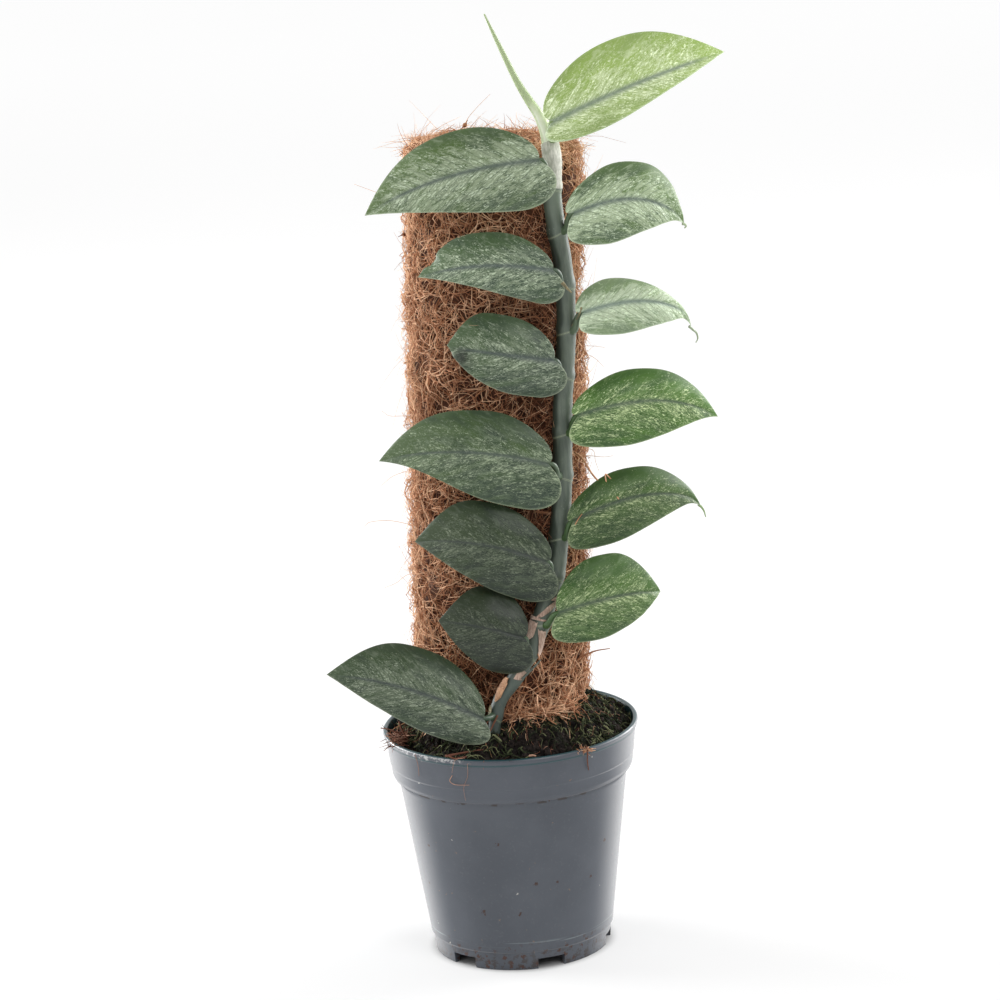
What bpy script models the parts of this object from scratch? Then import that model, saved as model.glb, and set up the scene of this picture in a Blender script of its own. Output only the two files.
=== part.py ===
"""Potted rhaphidophora: a young climber on a coir pole, in a plastic nursery pot.

Lengths are in millimetres and angles in degrees, and become metres and radians where a mesh is made.
The origin is on the pot's axis, on the surface that the pot stands on.
+X is to the right as the plant is seen from the front, -Y is the front and +Z is up.
"""

import math
from dataclasses import dataclass

import bmesh
import bpy
from mathutils import Matrix, Vector, noise

MM = 0.001
GAP = 0.3

# Pot
POT_HEIGHT = 108.8
RIM_RADIUS = 60.0
LIP_THICKNESS = 2.4
LIP_DEPTH = 3.2
WALL = 1.3
COLLAR_TOP_RADIUS = 58.8
COLLAR_LINE_RADIUS = 57.4
COLLAR_LINE_Z = 93.7
COLLAR_FOOT_RADIUS = 56.8
COLLAR_FOOT_Z = 88.8
COLLAR_INSIDE_Z = 89.8
BODY_TOP_RADIUS = 53.8
BODY_TOP_Z = 85.3
BODY_FOOT_RADIUS = 43.2
BODY_FOOT_Z = 9.4
STEP_FLARE = 1.9
STEP_RISE = 0.7
STEP_ROUNDING = 1.4
EDGE_ROUNDING = 0.3
FOOT_ROUNDING = 3.0
FOOT_RADIUS = 41.5
FOOT_INSET_RADIUS = 42.3
FLOOR_UNDERSIDE_Z = 3.4
FLOOR_TOP_Z = 4.8
SKIRT_THICKNESS = 2.2
CENTRE_PAD_RADIUS = 7.0
MOULD_DRAFT = 0.4
POT_SEGMENTS = 48
NOTCHES = 6
NOTCH_WIDTH_DEG = 18.0
NOTCH_HEIGHT = 5.3
FIRST_NOTCH_DEG = -72.3
CUT_CLEARANCE = 1.0

# Potting mix
MIX_EDGE_Z = 104.5
MIX_CREST_Z = 118.6
MIX_CREST_RADIUS = 37.0
MIX_SLOPE_POWER = 1.25
MIX_HIGHEST_Z = 121.5
CLOD_SIZE = 9.0
CLOD_HEIGHT = 1.6
FINE_CLOD_SIZE = 4.0
MIX_RINGS = (55.2, 52.5, 49.5, 46.5, 43.5, 40.0, 36.0, 28.0, 14.0, 0.0)

# Coir pole
POLE_FOOT_X = -3.7
POLE_FOOT_Y = 8.0
POLE_AXIS_Z = 110.0
POLE_LEAN_DEG = 2.5
POLE_TOP_Z = 381.5
POLE_BURIED_TO_Z = 80.0
COIR_RADIUS = 40.0
COIR_BURIED_RADIUS = 39.0
COIR_MAT_DEPTH = 1.3
COIR_MAT_SIZE = 11.0
COIR_SHOULDER = 2.6
COIR_SHOULDER_HEIGHT = 5.0
COIR_CROWN = 0.8
COIR_SEGMENTS = 48
COIR_RINGS = 30
STAKE_RADIUS = 12.0
STAKE_FOOT_Z = 6.0
STAKE_BELOW_TOP = 3.0
STAKE_SIDES = 24

# Stem
STEM_RADIUS = 4.5
STEM_TIP_RADIUS = 4.2
STEM_FOOT_RADIUS = 2.9
STEM_FOOT_Z = 122.0
STEM_FULL_Z = 166.0
STEM_STAND_OFF = 46.4
STEM_SIDES = 10
STEM_POINTS = 600
STEM_RING_STEP = 9.0
STEM_CLOSEST_RINGS = 1.4
STEM_ROUTE = (
    (-9.0, 98.0),
    (-8.0, 110.0),
    (-6.8, 121.5),
    (-3.4, 132.0),
    (3.6, 141.0),
    (10.0, 151.0),
    (15.2, 161.5),
    (20.2, 175.0),
    (24.6, 188.0),
    (27.2, 202.0),
    (29.8, 223.0),
    (31.4, 244.5),
    (32.8, 268.0),
    (36.0, 297.0),
    (36.8, 317.5),
    (36.0, 333.0),
    (33.6, 354.0),
    (33.2, 368.0),
)
STEM_TOP_Z = 372.0
NODE_SWELL = 0.45
NODE_HALF_HEIGHT = 2.2
TAPER_FROM_Z = 250.0
HOLE_CLEARANCE = 0.6
HOLE_SIDES = 12
HOLE_STATIONS = 10

# Leaf blades and stalks
BLADE_THICKNESS = 0.9
RIBS = 12
CELLS = 3
TURN = 0.42
NOTCH_OPENING = 0.22
RIB_SPREAD = 1.45
STALK_RADIUS = 1.9
STALK_TIP_RADIUS = 1.15
STALK_RINGS = 7
STALK_RISE = 0.9


@dataclass
class Leaf:
    """One leaf, by what a rule and a protractor would read off it.

    notch_x and notch_z place the notch where the stalk meets the blade, and forward says how far it
    stands in front of the stem. pitch is how steeply the blade's chord climbs, swing how far its tip
    turns away from the front, and tilt how far its face looks up. bow lifts the midrib off the chord
    in the blade's plane and arch lifts it out of that plane. Each half has its width from the midrib,
    the station of its widest place, as a share of the length, how far its lobe reaches back past the
    notch, how far its edge falls back behind the midrib, and how much of its length is drawn out into
    the drip tip. The stalk leaves the stem at a joint that lies drop below the notch.
    """

    name: str
    side: int
    notch_x: float
    notch_z: float
    length: float
    pitch: float
    bow: float
    upper: float
    upper_at: float
    lower: float
    lower_at: float
    upper_lobe: float = 1.5
    lower_lobe: float = 6.0
    upper_back: float = 7.0
    lower_back: float = 3.0
    upper_fullness: float = 2.0
    lower_fullness: float = 2.0
    drip: float = 2.0
    lower_drip: float = 2.0
    hook: float = 0.0
    arch: float = 5.0
    swing: float = 8.0
    tilt: float = 0.0
    forward: float = 12.0
    wave: float = 0.6
    drop: float = 9.0


LEFT = -1
RIGHT = 1
LEAVES = (
    Leaf("leaf_left_1", LEFT, 27.8, 381.0, 84.0, -16.0, 6.0, 18.2, 0.36, 22.5, 0.17, lower_lobe=8.0,
         upper_lobe=3.0, upper_fullness=2.5, lower_fullness=1.4, arch=8.0, swing=12.0, drop=14.0),
    Leaf("leaf_left_2", LEFT, 31.3, 330.5, 61.5, -1.5, 5.0, 14.0, 0.44, 17.0, 0.12, lower_lobe=7.0,
         upper_fullness=3.2, lower_fullness=1.25, arch=7.0, swing=10.0, forward=14.0),
    Leaf("leaf_left_3", LEFT, 29.8, 289.0, 49.0, 10.5, 1.0, 16.7, 0.54, 18.5, 0.12, lower_lobe=9.5,
         upper_lobe=0.5, upper_fullness=3.6, lower_fullness=2.3, drip=0.5, lower_drip=0.5, arch=6.0,
         swing=2.0, forward=13.0),
    Leaf("leaf_left_4", LEFT, 24.2, 242.5, 79.0, 1.0, 7.0, 18.0, 0.34, 24.4, 0.16, lower_lobe=9.0,
         upper_lobe=4.5, upper_fullness=3.2, lower_fullness=2.0, lower_drip=15.0, lower_back=2.0,
         arch=8.0, swing=14.0, forward=16.0),
    Leaf("leaf_left_5", LEFT, 21.0, 196.5, 61.5, 9.5, 5.5, 18.4, 0.50, 22.4, 0.17, lower_lobe=10.0,
         upper_lobe=4.5, upper_fullness=3.0, lower_fullness=1.8, lower_back=2.0, arch=7.0,
         swing=11.0, forward=12.0),
    Leaf("leaf_left_6", LEFT, 8.8, 162.0, 40.0, 13.5, 2.0, 16.7, 0.46, 20.5, 0.22, lower_lobe=8.5,
         upper_lobe=2.5, upper_fullness=2.9, lower_fullness=1.9, upper_back=10.0, drip=1.0,
         lower_drip=1.0, swing=6.0, arch=3.5, forward=9.5),
    Leaf("leaf_left_7", LEFT, -12.3, 125.5, 74.6, 17.6, 5.0, 18.4, 0.48, 17.6, 0.26, lower_lobe=9.0,
         upper_fullness=3.0, lower_fullness=1.8, upper_back=9.0, tilt=8.0, arch=6.0, swing=8.0,
         forward=9.0, drop=1.5),
    Leaf("leaf_right_1", RIGHT, 35.2, 397.0, 86.6, 15.0, 3.6, 21.2, 0.42, 13.9, 0.24, lower_lobe=9.0,
         upper_lobe=6.5, upper_fullness=2.2, lower_fullness=1.45, arch=7.0, swing=19.0, forward=7.0),
    Leaf("leaf_right_2", RIGHT, 42.5, 355.4, 54.4, -10.8, 9.0, 16.0, 0.42, 20.2, 0.32, lower_lobe=5.0,
         upper_lobe=8.0, upper_fullness=4.6, lower_fullness=1.5, drip=3.0, lower_drip=4.0, hook=1.5,
         arch=6.0, swing=21.0, forward=9.0),
    Leaf("leaf_right_3", RIGHT, 44.4, 309.3, 57.4, -11.4, 7.5, 10.6, 0.18, 15.2, 0.32, lower_lobe=4.0,
         upper_lobe=7.0, upper_fullness=1.6, lower_fullness=1.7, drip=4.0, lower_drip=5.0, hook=4.5,
         arch=6.0, swing=27.0, forward=9.0),
    Leaf("leaf_right_4", RIGHT, 39.6, 262.5, 68.8, -8.4, 8.5, 13.7, 0.38, 20.6, 0.32, lower_lobe=7.5,
         upper_lobe=7.0, upper_fullness=2.9, lower_fullness=1.8, lower_drip=7.0, arch=7.0,
         swing=20.0, forward=9.0),
    Leaf("leaf_right_5", RIGHT, 34.9, 214.2, 65.4, -1.4, 8.3, 12.2, 0.42, 19.8, 0.27, lower_lobe=7.0,
         upper_lobe=7.0, upper_fullness=2.8, lower_fullness=1.7, lower_drip=7.0, hook=3.0, arch=6.0,
         swing=25.0, forward=9.0),
    Leaf("leaf_right_6", RIGHT, 25.4, 172.5, 50.7, 2.4, 4.0, 18.9, 0.45, 19.2, 0.33, lower_lobe=8.0,
         upper_lobe=3.0, upper_fullness=3.0, lower_fullness=2.1, drip=1.5, lower_drip=1.5, arch=6.0,
         swing=21.0, forward=10.0, drop=6.5),
)

# Young shoot: a pale sheath on the stem's end, and the leaf still rolled up in it
SHOOT_ROUTE = (
    (33.9, 377.0, 4.2),
    (33.6, 385.0, 3.9),
    (32.0, 392.0, 3.0),
    (29.3, 399.0, 2.4),
    (25.2, 406.0, 2.0),
    (20.3, 415.0, 1.5),
    (14.8, 428.0, 1.15),
    (11.1, 437.0, 0.8),
    (7.7, 445.5, 0.35),
)
SHOOT_FORWARD = 1.5
SHOOT_STEP = 4.0
SHOOT_SIDES = 8

# Dry scale leaves round the lowest joints of the stem: height, facing, wrap and length
SCALES = ((137.0, -28.0, 120.0, 8.5), (158.0, 42.0, 110.0, 6.5), (169.5, -45.0, 76.0, 8.0))
SCALE_THICKNESS = 0.7
SCALE_STAND_OFF = 0.8
SCALE_FLARE = 0.4
SCALE_SEGMENTS = 9
SCALE_RINGS = 3

# Finishes: colour, roughness
POT_FINISH = ((0.093, 0.103, 0.118), 0.42)
MIX_FINISH = ((0.012, 0.010, 0.010), 0.95)
COIR_FINISH = ((0.205, 0.090, 0.050), 0.95)
STAKE_FINISH = ((0.420, 0.280, 0.150), 0.80)
STEM_FINISH = ((0.085, 0.105, 0.075), 0.45)
LEAF_FINISH = ((0.090, 0.130, 0.075), 0.38)
YOUNG_FINISH = ((0.560, 0.600, 0.400), 0.40)
SCALE_FINISH = ((0.330, 0.150, 0.060), 0.85)


def clear_scene():
    """Remove what the file opened with."""
    for thing in list(bpy.data.objects):
        bpy.data.objects.remove(thing, do_unlink=True)


def finish(name, look):
    """A plain Principled material."""
    colour, roughness = look
    made = bpy.data.materials.new(name)
    made.use_nodes = True
    shader = made.node_tree.nodes["Principled BSDF"]
    shader.inputs["Base Color"].default_value = (*colour, 1.0)
    shader.inputs["Roughness"].default_value = roughness
    shader.inputs["Metallic"].default_value = 0.0
    return made


def piece(name, bm, look, smooth_deg=35.0):
    """Turn a bmesh in millimetres into a named object in metres, with its faces pointing out."""
    bmesh.ops.recalc_face_normals(bm, faces=bm.faces)
    bmesh.ops.scale(bm, vec=(MM, MM, MM), verts=bm.verts)
    mesh = bpy.data.meshes.new(name)
    bm.to_mesh(mesh)
    bm.free()
    mesh.shade_smooth()
    mesh.set_sharp_from_angle(angle=math.radians(smooth_deg))
    made = bpy.data.objects.new(name, mesh)
    bpy.context.scene.collection.objects.link(made)
    mesh.materials.append(finish(name + "_finish", look))
    return made


def combine(target, others, operation, solver="EXACT"):
    """Cut others from target, or join them to it, and remove them."""
    for other in others:
        modifier = target.modifiers.new(operation.lower(), "BOOLEAN")
        modifier.operation = operation
        modifier.solver = solver
        modifier.object = other
    bpy.context.view_layer.update()
    result = target.evaluated_get(bpy.context.evaluated_depsgraph_get())
    mesh = bpy.data.meshes.new_from_object(result)
    target.modifiers.clear()
    target.data = mesh
    for other in others:
        bpy.data.objects.remove(other, do_unlink=True)


def turned(profile, segments):
    """Spin a profile of (radius, z) points, whose ends are on the axis, once round the Z axis."""
    bm = bmesh.new()
    points = [bm.verts.new((radius, 0.0, z)) for radius, z in profile]
    edges = [bm.edges.new(pair) for pair in zip(points, points[1:])]
    bmesh.ops.spin(bm, geom=points + edges, cent=(0, 0, 0), axis=(0, 0, 1), angle=math.tau,
                   steps=segments, use_merge=True)
    bmesh.ops.remove_doubles(bm, verts=bm.verts, dist=0.001)
    return bm


def tube(points, radii, sides):
    """A closed round tube through points, with a radius at each."""
    bm = bmesh.new()
    tangents = []
    for index in range(len(points)):
        before = points[max(index - 1, 0)]
        after = points[min(index + 1, len(points) - 1)]
        tangents.append((after - before).normalized())
    across = tangents[0].orthogonal().normalized()
    rings = []
    for point, tangent, radius in zip(points, tangents, radii):
        across = (across - tangent * across.dot(tangent)).normalized()
        over = tangent.cross(across)
        ring = []
        for side in range(sides):
            angle = math.tau * side / sides
            ring.append(bm.verts.new(point + radius * (math.cos(angle) * across + math.sin(angle) * over)))
        rings.append(ring)
    for lower, upper in zip(rings, rings[1:]):
        for side in range(sides):
            after = (side + 1) % sides
            bm.faces.new((lower[side], lower[after], upper[after], upper[side]))
    bm.faces.new(rings[0])
    bm.faces.new(rings[-1])
    return bm


def smooth_path(points, count):
    """Points evenly spread in parameter along a Catmull-Rom curve through the given ones."""
    points = [Vector(point) for point in points]
    ends = [2 * points[0] - points[1]] + points + [2 * points[-1] - points[-2]]
    path = []
    for index in range(count):
        place = index / (count - 1) * (len(points) - 1)
        span = min(int(place), len(points) - 2)
        t = place - span
        a, b, c, d = ends[span:span + 4]
        path.append(0.5 * (2 * b + (c - a) * t + (2 * a - 5 * b + 4 * c - d) * t ** 2
                           + (3 * b - a - 3 * c + d) * t ** 3))
    return path


# Pot

def inner_radius(z):
    """The pot's inner wall: the floor's corner, the tapered body, the step and the collar."""
    stations = (
        (FLOOR_TOP_Z, FOOT_INSET_RADIUS - SKIRT_THICKNESS),
        (BODY_FOOT_Z, BODY_FOOT_RADIUS - 2 * WALL),
        (BODY_TOP_Z, BODY_TOP_RADIUS - WALL),
        (COLLAR_INSIDE_Z, COLLAR_FOOT_RADIUS - WALL),
        (POT_HEIGHT, COLLAR_TOP_RADIUS - WALL),
    )
    for (low_z, low_radius), (high_z, high_radius) in zip(stations, stations[1:]):
        if z <= high_z:
            share = (z - low_z) / (high_z - low_z)
            return low_radius + share * (high_radius - low_radius)
    return stations[-1][1]


def pot_profile():
    """From the centre pad's underside out over the foot, up the outside, over the lip and down again."""
    lip_middle = RIM_RADIUS - LIP_THICKNESS / 2
    skirt_inner = FOOT_RADIUS - SKIRT_THICKNESS
    outside = [
        (0.0, 0.0),
        (CENTRE_PAD_RADIUS, 0.0),
        (CENTRE_PAD_RADIUS + MOULD_DRAFT, FLOOR_UNDERSIDE_Z),
        (skirt_inner - MOULD_DRAFT, FLOOR_UNDERSIDE_Z),
        (skirt_inner, 0.0),
        (FOOT_RADIUS, 0.0),
        (FOOT_INSET_RADIUS, BODY_FOOT_Z - 2 * EDGE_ROUNDING),
        (BODY_FOOT_RADIUS + EDGE_ROUNDING, BODY_FOOT_Z),
        (BODY_FOOT_RADIUS, BODY_FOOT_Z + FOOT_ROUNDING),
        (BODY_TOP_RADIUS, BODY_TOP_Z),
        (BODY_TOP_RADIUS + STEP_FLARE, BODY_TOP_Z + STEP_RISE),
        (COLLAR_FOOT_RADIUS - MOULD_DRAFT, COLLAR_FOOT_Z - STEP_ROUNDING),
        (COLLAR_FOOT_RADIUS, COLLAR_FOOT_Z),
        (COLLAR_LINE_RADIUS - EDGE_ROUNDING, COLLAR_LINE_Z - EDGE_ROUNDING),
        (COLLAR_LINE_RADIUS, COLLAR_LINE_Z),
        (COLLAR_TOP_RADIUS, POT_HEIGHT - LIP_DEPTH),
    ]
    lip = [(RIM_RADIUS - EDGE_ROUNDING, POT_HEIGHT - LIP_DEPTH + 2 * EDGE_ROUNDING)]
    for degrees in (-10, 35, 80, 125, 170):
        angle = math.radians(degrees)
        reach = LIP_THICKNESS / 2
        lip.append((lip_middle + reach * math.cos(angle), POT_HEIGHT - reach + reach * math.sin(angle)))
    inside_heights = (POT_HEIGHT - LIP_DEPTH, COLLAR_INSIDE_Z, BODY_TOP_Z, BODY_FOOT_Z, FLOOR_TOP_Z)
    inside = [(inner_radius(z), z) for z in inside_heights]
    inside.append((0.0, FLOOR_TOP_Z))
    return outside + lip + inside


def notch_cutters():
    """One wedge for each drain notch, through the skirt and the floor's corner."""
    cutters = []
    reach_in = FOOT_RADIUS - SKIRT_THICKNESS - MOULD_DRAFT - CUT_CLEARANCE
    reach_out = BODY_FOOT_RADIUS + 2 * CUT_CLEARANCE
    for index in range(NOTCHES):
        centre = math.radians(FIRST_NOTCH_DEG + 360.0 * index / NOTCHES)
        half = math.radians(NOTCH_WIDTH_DEG / 2)
        bm = bmesh.new()
        rings = []
        for z in (-CUT_CLEARANCE, NOTCH_HEIGHT):
            ring = []
            for radius, angle in ((reach_in, -half), (reach_out, -half), (reach_out, half), (reach_in, half)):
                place = centre + angle
                ring.append(bm.verts.new((radius * math.cos(place), radius * math.sin(place), z)))
            rings.append(ring)
        for side in range(4):
            after = (side + 1) % 4
            bm.faces.new((rings[0][side], rings[0][after], rings[1][after], rings[1][side]))
        bm.faces.new(rings[0])
        bm.faces.new(rings[1])
        cutters.append(piece(f"notch_cutter_{index + 1}", bm, POT_FINISH))
    return cutters


def make_pot():
    pot = piece("pot", turned(pot_profile(), POT_SEGMENTS), POT_FINISH, smooth_deg=28.0)
    combine(pot, notch_cutters(), "DIFFERENCE")


# Coir pole

def pole_axis(z):
    """Where the leaning pole's axis passes at a height."""
    return Vector((POLE_FOOT_X + (z - POLE_AXIS_Z) * math.tan(math.radians(POLE_LEAN_DEG)), POLE_FOOT_Y, z))


def pole_place():
    """Carries a pole that stands on the origin to where the leaning pole meets the soil."""
    lean = Matrix.Rotation(math.radians(POLE_LEAN_DEG), 4, "Y")
    return Matrix.Translation(pole_axis(POLE_AXIS_Z)) @ lean


def mat_relief(angle, height):
    """The matted coir's lumps: coarse noise and finer noise, wrapped round the pole without a seam."""
    around = Vector((math.cos(angle), math.sin(angle), 0.0)) * COIR_RADIUS
    place = (around + Vector((0.0, 0.0, height))) / COIR_MAT_SIZE
    return 0.65 * noise.noise(place) + 0.35 * noise.noise(place * 2.3 + Vector((7.0, 0.0, 0.0)))


def sleeve_bmesh():
    """Plain below the soil, matted above it, with a rounded shoulder and a bore for the stake."""
    stretch = 1.0 / math.cos(math.radians(POLE_LEAN_DEG))
    foot = (POLE_BURIED_TO_Z - POLE_AXIS_Z) * stretch
    top = (POLE_TOP_Z - POLE_AXIS_Z) * stretch
    bore = STAKE_RADIUS + GAP
    soil = MIX_HIGHEST_Z - POLE_AXIS_Z
    bm = bmesh.new()
    rows = [(bore, foot, 0.0), (COIR_BURIED_RADIUS, foot, 0.0), (COIR_BURIED_RADIUS, soil, 0.0)]
    for ring in range(COIR_RINGS):
        share = ring / (COIR_RINGS - 1)
        height = soil + 2.0 + share * (top - soil - COIR_SHOULDER_HEIGHT)
        rows.append((COIR_RADIUS - 0.6 * share ** 8, height, min(1.0, 0.35 + 4 * share)))
    shoulder = COIR_RADIUS - COIR_SHOULDER
    rows += [(shoulder, top, 0.8), ((COIR_RADIUS + bore) / 2, top + COIR_CROWN, 0.8), (bore, top, 0.0)]
    rings = []
    for radius, height, roughness in rows:
        ring = []
        for segment in range(COIR_SEGMENTS):
            angle = math.tau * segment / COIR_SEGMENTS
            relief = COIR_MAT_DEPTH * roughness * 1.6 * mat_relief(angle, height)
            flat = height >= top
            reach = radius if flat else radius + relief
            rise = relief if flat else 0.0
            ring.append(bm.verts.new((reach * math.cos(angle), reach * math.sin(angle), height + rise)))
        rings.append(ring)
    for lower, upper in zip(rings, rings[1:] + rings[:1]):
        for segment in range(COIR_SEGMENTS):
            after = (segment + 1) % COIR_SEGMENTS
            bm.faces.new((lower[segment], lower[after], upper[after]))
            bm.faces.new((lower[segment], upper[after], upper[segment]))
    bmesh.ops.transform(bm, matrix=pole_place(), verts=bm.verts)
    return bm


def rod_bmesh(radius, low_z, high_z, sides):
    """A plain round rod along the pole's axis between two heights."""
    stretch = 1.0 / math.cos(math.radians(POLE_LEAN_DEG))
    low = (low_z - POLE_AXIS_Z) * stretch
    high = (high_z - POLE_AXIS_Z) * stretch
    bm = bmesh.new()
    bmesh.ops.create_cone(bm, cap_ends=True, segments=sides, radius1=radius, radius2=radius,
                          depth=high - low)
    bmesh.ops.translate(bm, vec=(0.0, 0.0, (low + high) / 2), verts=bm.verts)
    bmesh.ops.transform(bm, matrix=pole_place(), verts=bm.verts)
    return bm


def make_pole():
    piece("coir_sleeve", sleeve_bmesh(), COIR_FINISH, smooth_deg=60.0)
    stake = rod_bmesh(STAKE_RADIUS, STAKE_FOOT_Z, POLE_TOP_Z - STAKE_BELOW_TOP, STAKE_SIDES)
    piece("pole_stake", stake, STAKE_FINISH)


# Stem

def against_pole(x, z):
    """The point at this x and z that lies STEM_STAND_OFF in front of the pole's axis."""
    axis = pole_axis(z)
    across = x - axis.x
    return Vector((x, axis.y - math.sqrt(STEM_STAND_OFF ** 2 - across ** 2), z))


def stem_path():
    """The axis of the stem and of the shoot above it, which stands free of the pole."""
    climbing = [against_pole(x, z) for x, z in STEM_ROUTE]
    free = [Vector((x, climbing[-1].y - SHOOT_FORWARD, z)) for x, z, _ in SHOOT_ROUTE]
    return smooth_path(climbing + free, STEM_POINTS)


def stem_at(z, path):
    """The stem's centre and direction at a height."""
    for low, high in zip(path, path[1:]):
        if low.z <= z <= high.z:
            share = (z - low.z) / (high.z - low.z)
            return low.lerp(high, share), (high - low).normalized()
    return path[-1], (path[-1] - path[-2]).normalized()


def stem_radius(z):
    """Thin at the foot, nearly even above it and a little thinner at the tip, with a low swelling at
    each joint. Above the stem's end it is the shoot's radius, which tapers to the rolled leaf's point."""
    if z > STEM_TOP_Z:
        stations = [(STEM_TOP_Z, STEM_TIP_RADIUS)] + [(high, radius) for _, high, radius in SHOOT_ROUTE]
        for (low, low_radius), (high, high_radius) in zip(stations, stations[1:]):
            if z <= high:
                return low_radius + (z - low) / (high - low) * (high_radius - low_radius)
        return stations[-1][1]
    share = max(0.0, (z - TAPER_FROM_Z) / (STEM_TOP_Z - TAPER_FROM_Z))
    below = min(1.0, max(0.0, (STEM_FULL_Z - z) / (STEM_FULL_Z - STEM_FOOT_Z)))
    radius = STEM_RADIUS + share * (STEM_TIP_RADIUS - STEM_RADIUS)
    radius -= below * (STEM_RADIUS - STEM_FOOT_RADIUS)
    for leaf in LEAVES:
        off = (z - (leaf.notch_z - leaf.drop)) / NODE_HALF_HEIGHT
        radius += NODE_SWELL * math.exp(-off * off)
    return radius


def stem_heights():
    """Where the stem's rings lie: on each joint and just off it, and evenly between the joints."""
    low, high = STEM_ROUTE[0][1], STEM_TOP_Z
    joints = [leaf.notch_z - leaf.drop for leaf in LEAVES if leaf.notch_z - leaf.drop < high - 2.0]
    wanted = [low, high] + joints
    wanted += [joint + off for joint in joints for off in (-NODE_HALF_HEIGHT, NODE_HALF_HEIGHT)]
    wanted += [low + STEM_RING_STEP * step for step in range(1, int((high - low) / STEM_RING_STEP))]
    kept = []
    for height in wanted:
        if all(abs(height - other) >= STEM_CLOSEST_RINGS for other in kept):
            kept.append(height)
    return sorted(kept)


def make_stem(path):
    heights = stem_heights()
    centres = [stem_at(z, path)[0] for z in heights]
    piece("stem", tube(centres, [stem_radius(z) for z in heights], STEM_SIDES), STEM_FINISH, 50.0)


# Potting mix

def mix_height(x, y):
    """The heaped surface: lowest at the wall and highest round the pole, with clods."""
    radius = math.hypot(x, y)
    span = inner_radius(MIX_EDGE_Z) - MIX_CREST_RADIUS
    climb = min(1.0, max(0.0, (inner_radius(MIX_EDGE_Z) - radius) / span))
    clods = noise.noise(Vector((x, y, 3.0)) / CLOD_SIZE)
    clods += 0.5 * noise.noise(Vector((x, y, 9.0)) / FINE_CLOD_SIZE)
    return MIX_EDGE_Z + (MIX_CREST_Z - MIX_EDGE_Z) * climb ** MIX_SLOPE_POWER + CLOD_HEIGHT * clods


def mix_bmesh():
    """The pot's inside, less the gap, under the heaped surface."""
    edge = inner_radius(MIX_EDGE_Z) - GAP
    foot = FLOOR_TOP_Z + GAP
    heights = (foot, BODY_FOOT_Z, BODY_TOP_Z, COLLAR_INSIDE_Z)
    profile = [(0.0, foot)] + [(inner_radius(z) - 2 * GAP, z) for z in heights]
    profile += [(radius, MIX_EDGE_Z) for radius in (edge, *MIX_RINGS)]
    bm = turned(profile, POT_SEGMENTS)
    for vert in bm.verts:
        if vert.co.z > MIX_EDGE_Z - GAP:
            vert.co.z = mix_height(vert.co.x, vert.co.y)
    return bm


def make_mix(path):
    """The mix, with plain holes for the coir, the stake and the stem."""
    mix = piece("potting_mix", mix_bmesh(), MIX_FINISH)
    coir_hole = rod_bmesh(COIR_BURIED_RADIUS + GAP, POLE_BURIED_TO_Z - GAP, POLE_TOP_Z, COIR_SEGMENTS)
    stake_hole = rod_bmesh(STAKE_RADIUS + HOLE_CLEARANCE, STAKE_FOOT_Z - GAP, POLE_TOP_Z, STAKE_SIDES)
    low, high = STEM_ROUTE[0][1], MIX_HIGHEST_Z + 10.0
    step = (high - low) / (HOLE_STATIONS - 1)
    route = [stem_at(low + step * station, path)[0] for station in range(HOLE_STATIONS)]
    route[0] = route[0] + (route[0] - route[1]).normalized() * GAP
    stem_hole = tube(route, [STEM_FOOT_RADIUS + HOLE_CLEARANCE] * len(route), HOLE_SIDES)
    cutters = [
        piece("coir_hole", coir_hole, MIX_FINISH),
        piece("stake_hole", stake_hole, MIX_FINISH),
        piece("stem_hole", stem_hole, MIX_FINISH),
    ]
    combine(mix, cutters, "DIFFERENCE", solver="MANIFOLD")


# Leaves

def edge_point(leaf, t, half):
    """A half's edge from the notch at t = 0, round the lobe, to the tip at t = 1.

    Up to TURN it is a quarter of an ellipse, drawn forward to the notch where it starts. After that
    it is a parabola, drawn out into the drip tip. The result is (along the chord, off the midrib).
    """
    width = leaf.upper if half > 0 else leaf.lower
    widest = leaf.length * (leaf.upper_at if half > 0 else leaf.lower_at)
    lobe = leaf.upper_lobe if half > 0 else leaf.lower_lobe
    drip = leaf.drip if half > 0 else leaf.lower_drip
    fullness = leaf.upper_fullness if half > 0 else leaf.lower_fullness
    if t < TURN:
        turn = 0.5 * math.pi * t / TURN
        reach = widest + lobe * (1.0 - math.exp(-turn / NOTCH_OPENING))
        return widest - reach * math.cos(turn), width * math.sin(turn)
    front = (t - TURN) / (1.0 - TURN)
    along = widest + (leaf.length - drip - widest) * front + drip * front ** 8
    return along, width * (1.0 - front ** fullness)


def midrib_lift(leaf, along):
    """How far the midrib is off the chord, in the blade's plane, less the hook at the tip."""
    share = along / leaf.length
    hook = max(0.0, (share - 0.85) / 0.15)
    return 4.0 * leaf.bow * share * (1.0 - share) - leaf.hook * hook * hook


def blade_height(leaf, along, across):
    """How far the blade stands out of its plane: arched along the midrib, each half rising from the
    midrib's channel and then curving back to its edge, with a slow wave near the edge."""
    share = along / leaf.length
    inside = min(1.0, max(0.0, share))
    width = leaf.upper if across > 0 else leaf.lower
    back = leaf.upper_back if across > 0 else leaf.lower_back
    off = abs(across) / width
    rise = 0.2 * width
    crown = rise * off - (back + rise) * off * off
    wave = leaf.wave * off * off * math.sin(math.tau * 2.2 * share + (1.0 if across > 0 else 2.6))
    return 4.0 * leaf.arch * inside * (1.0 - inside) + crown + wave


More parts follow.
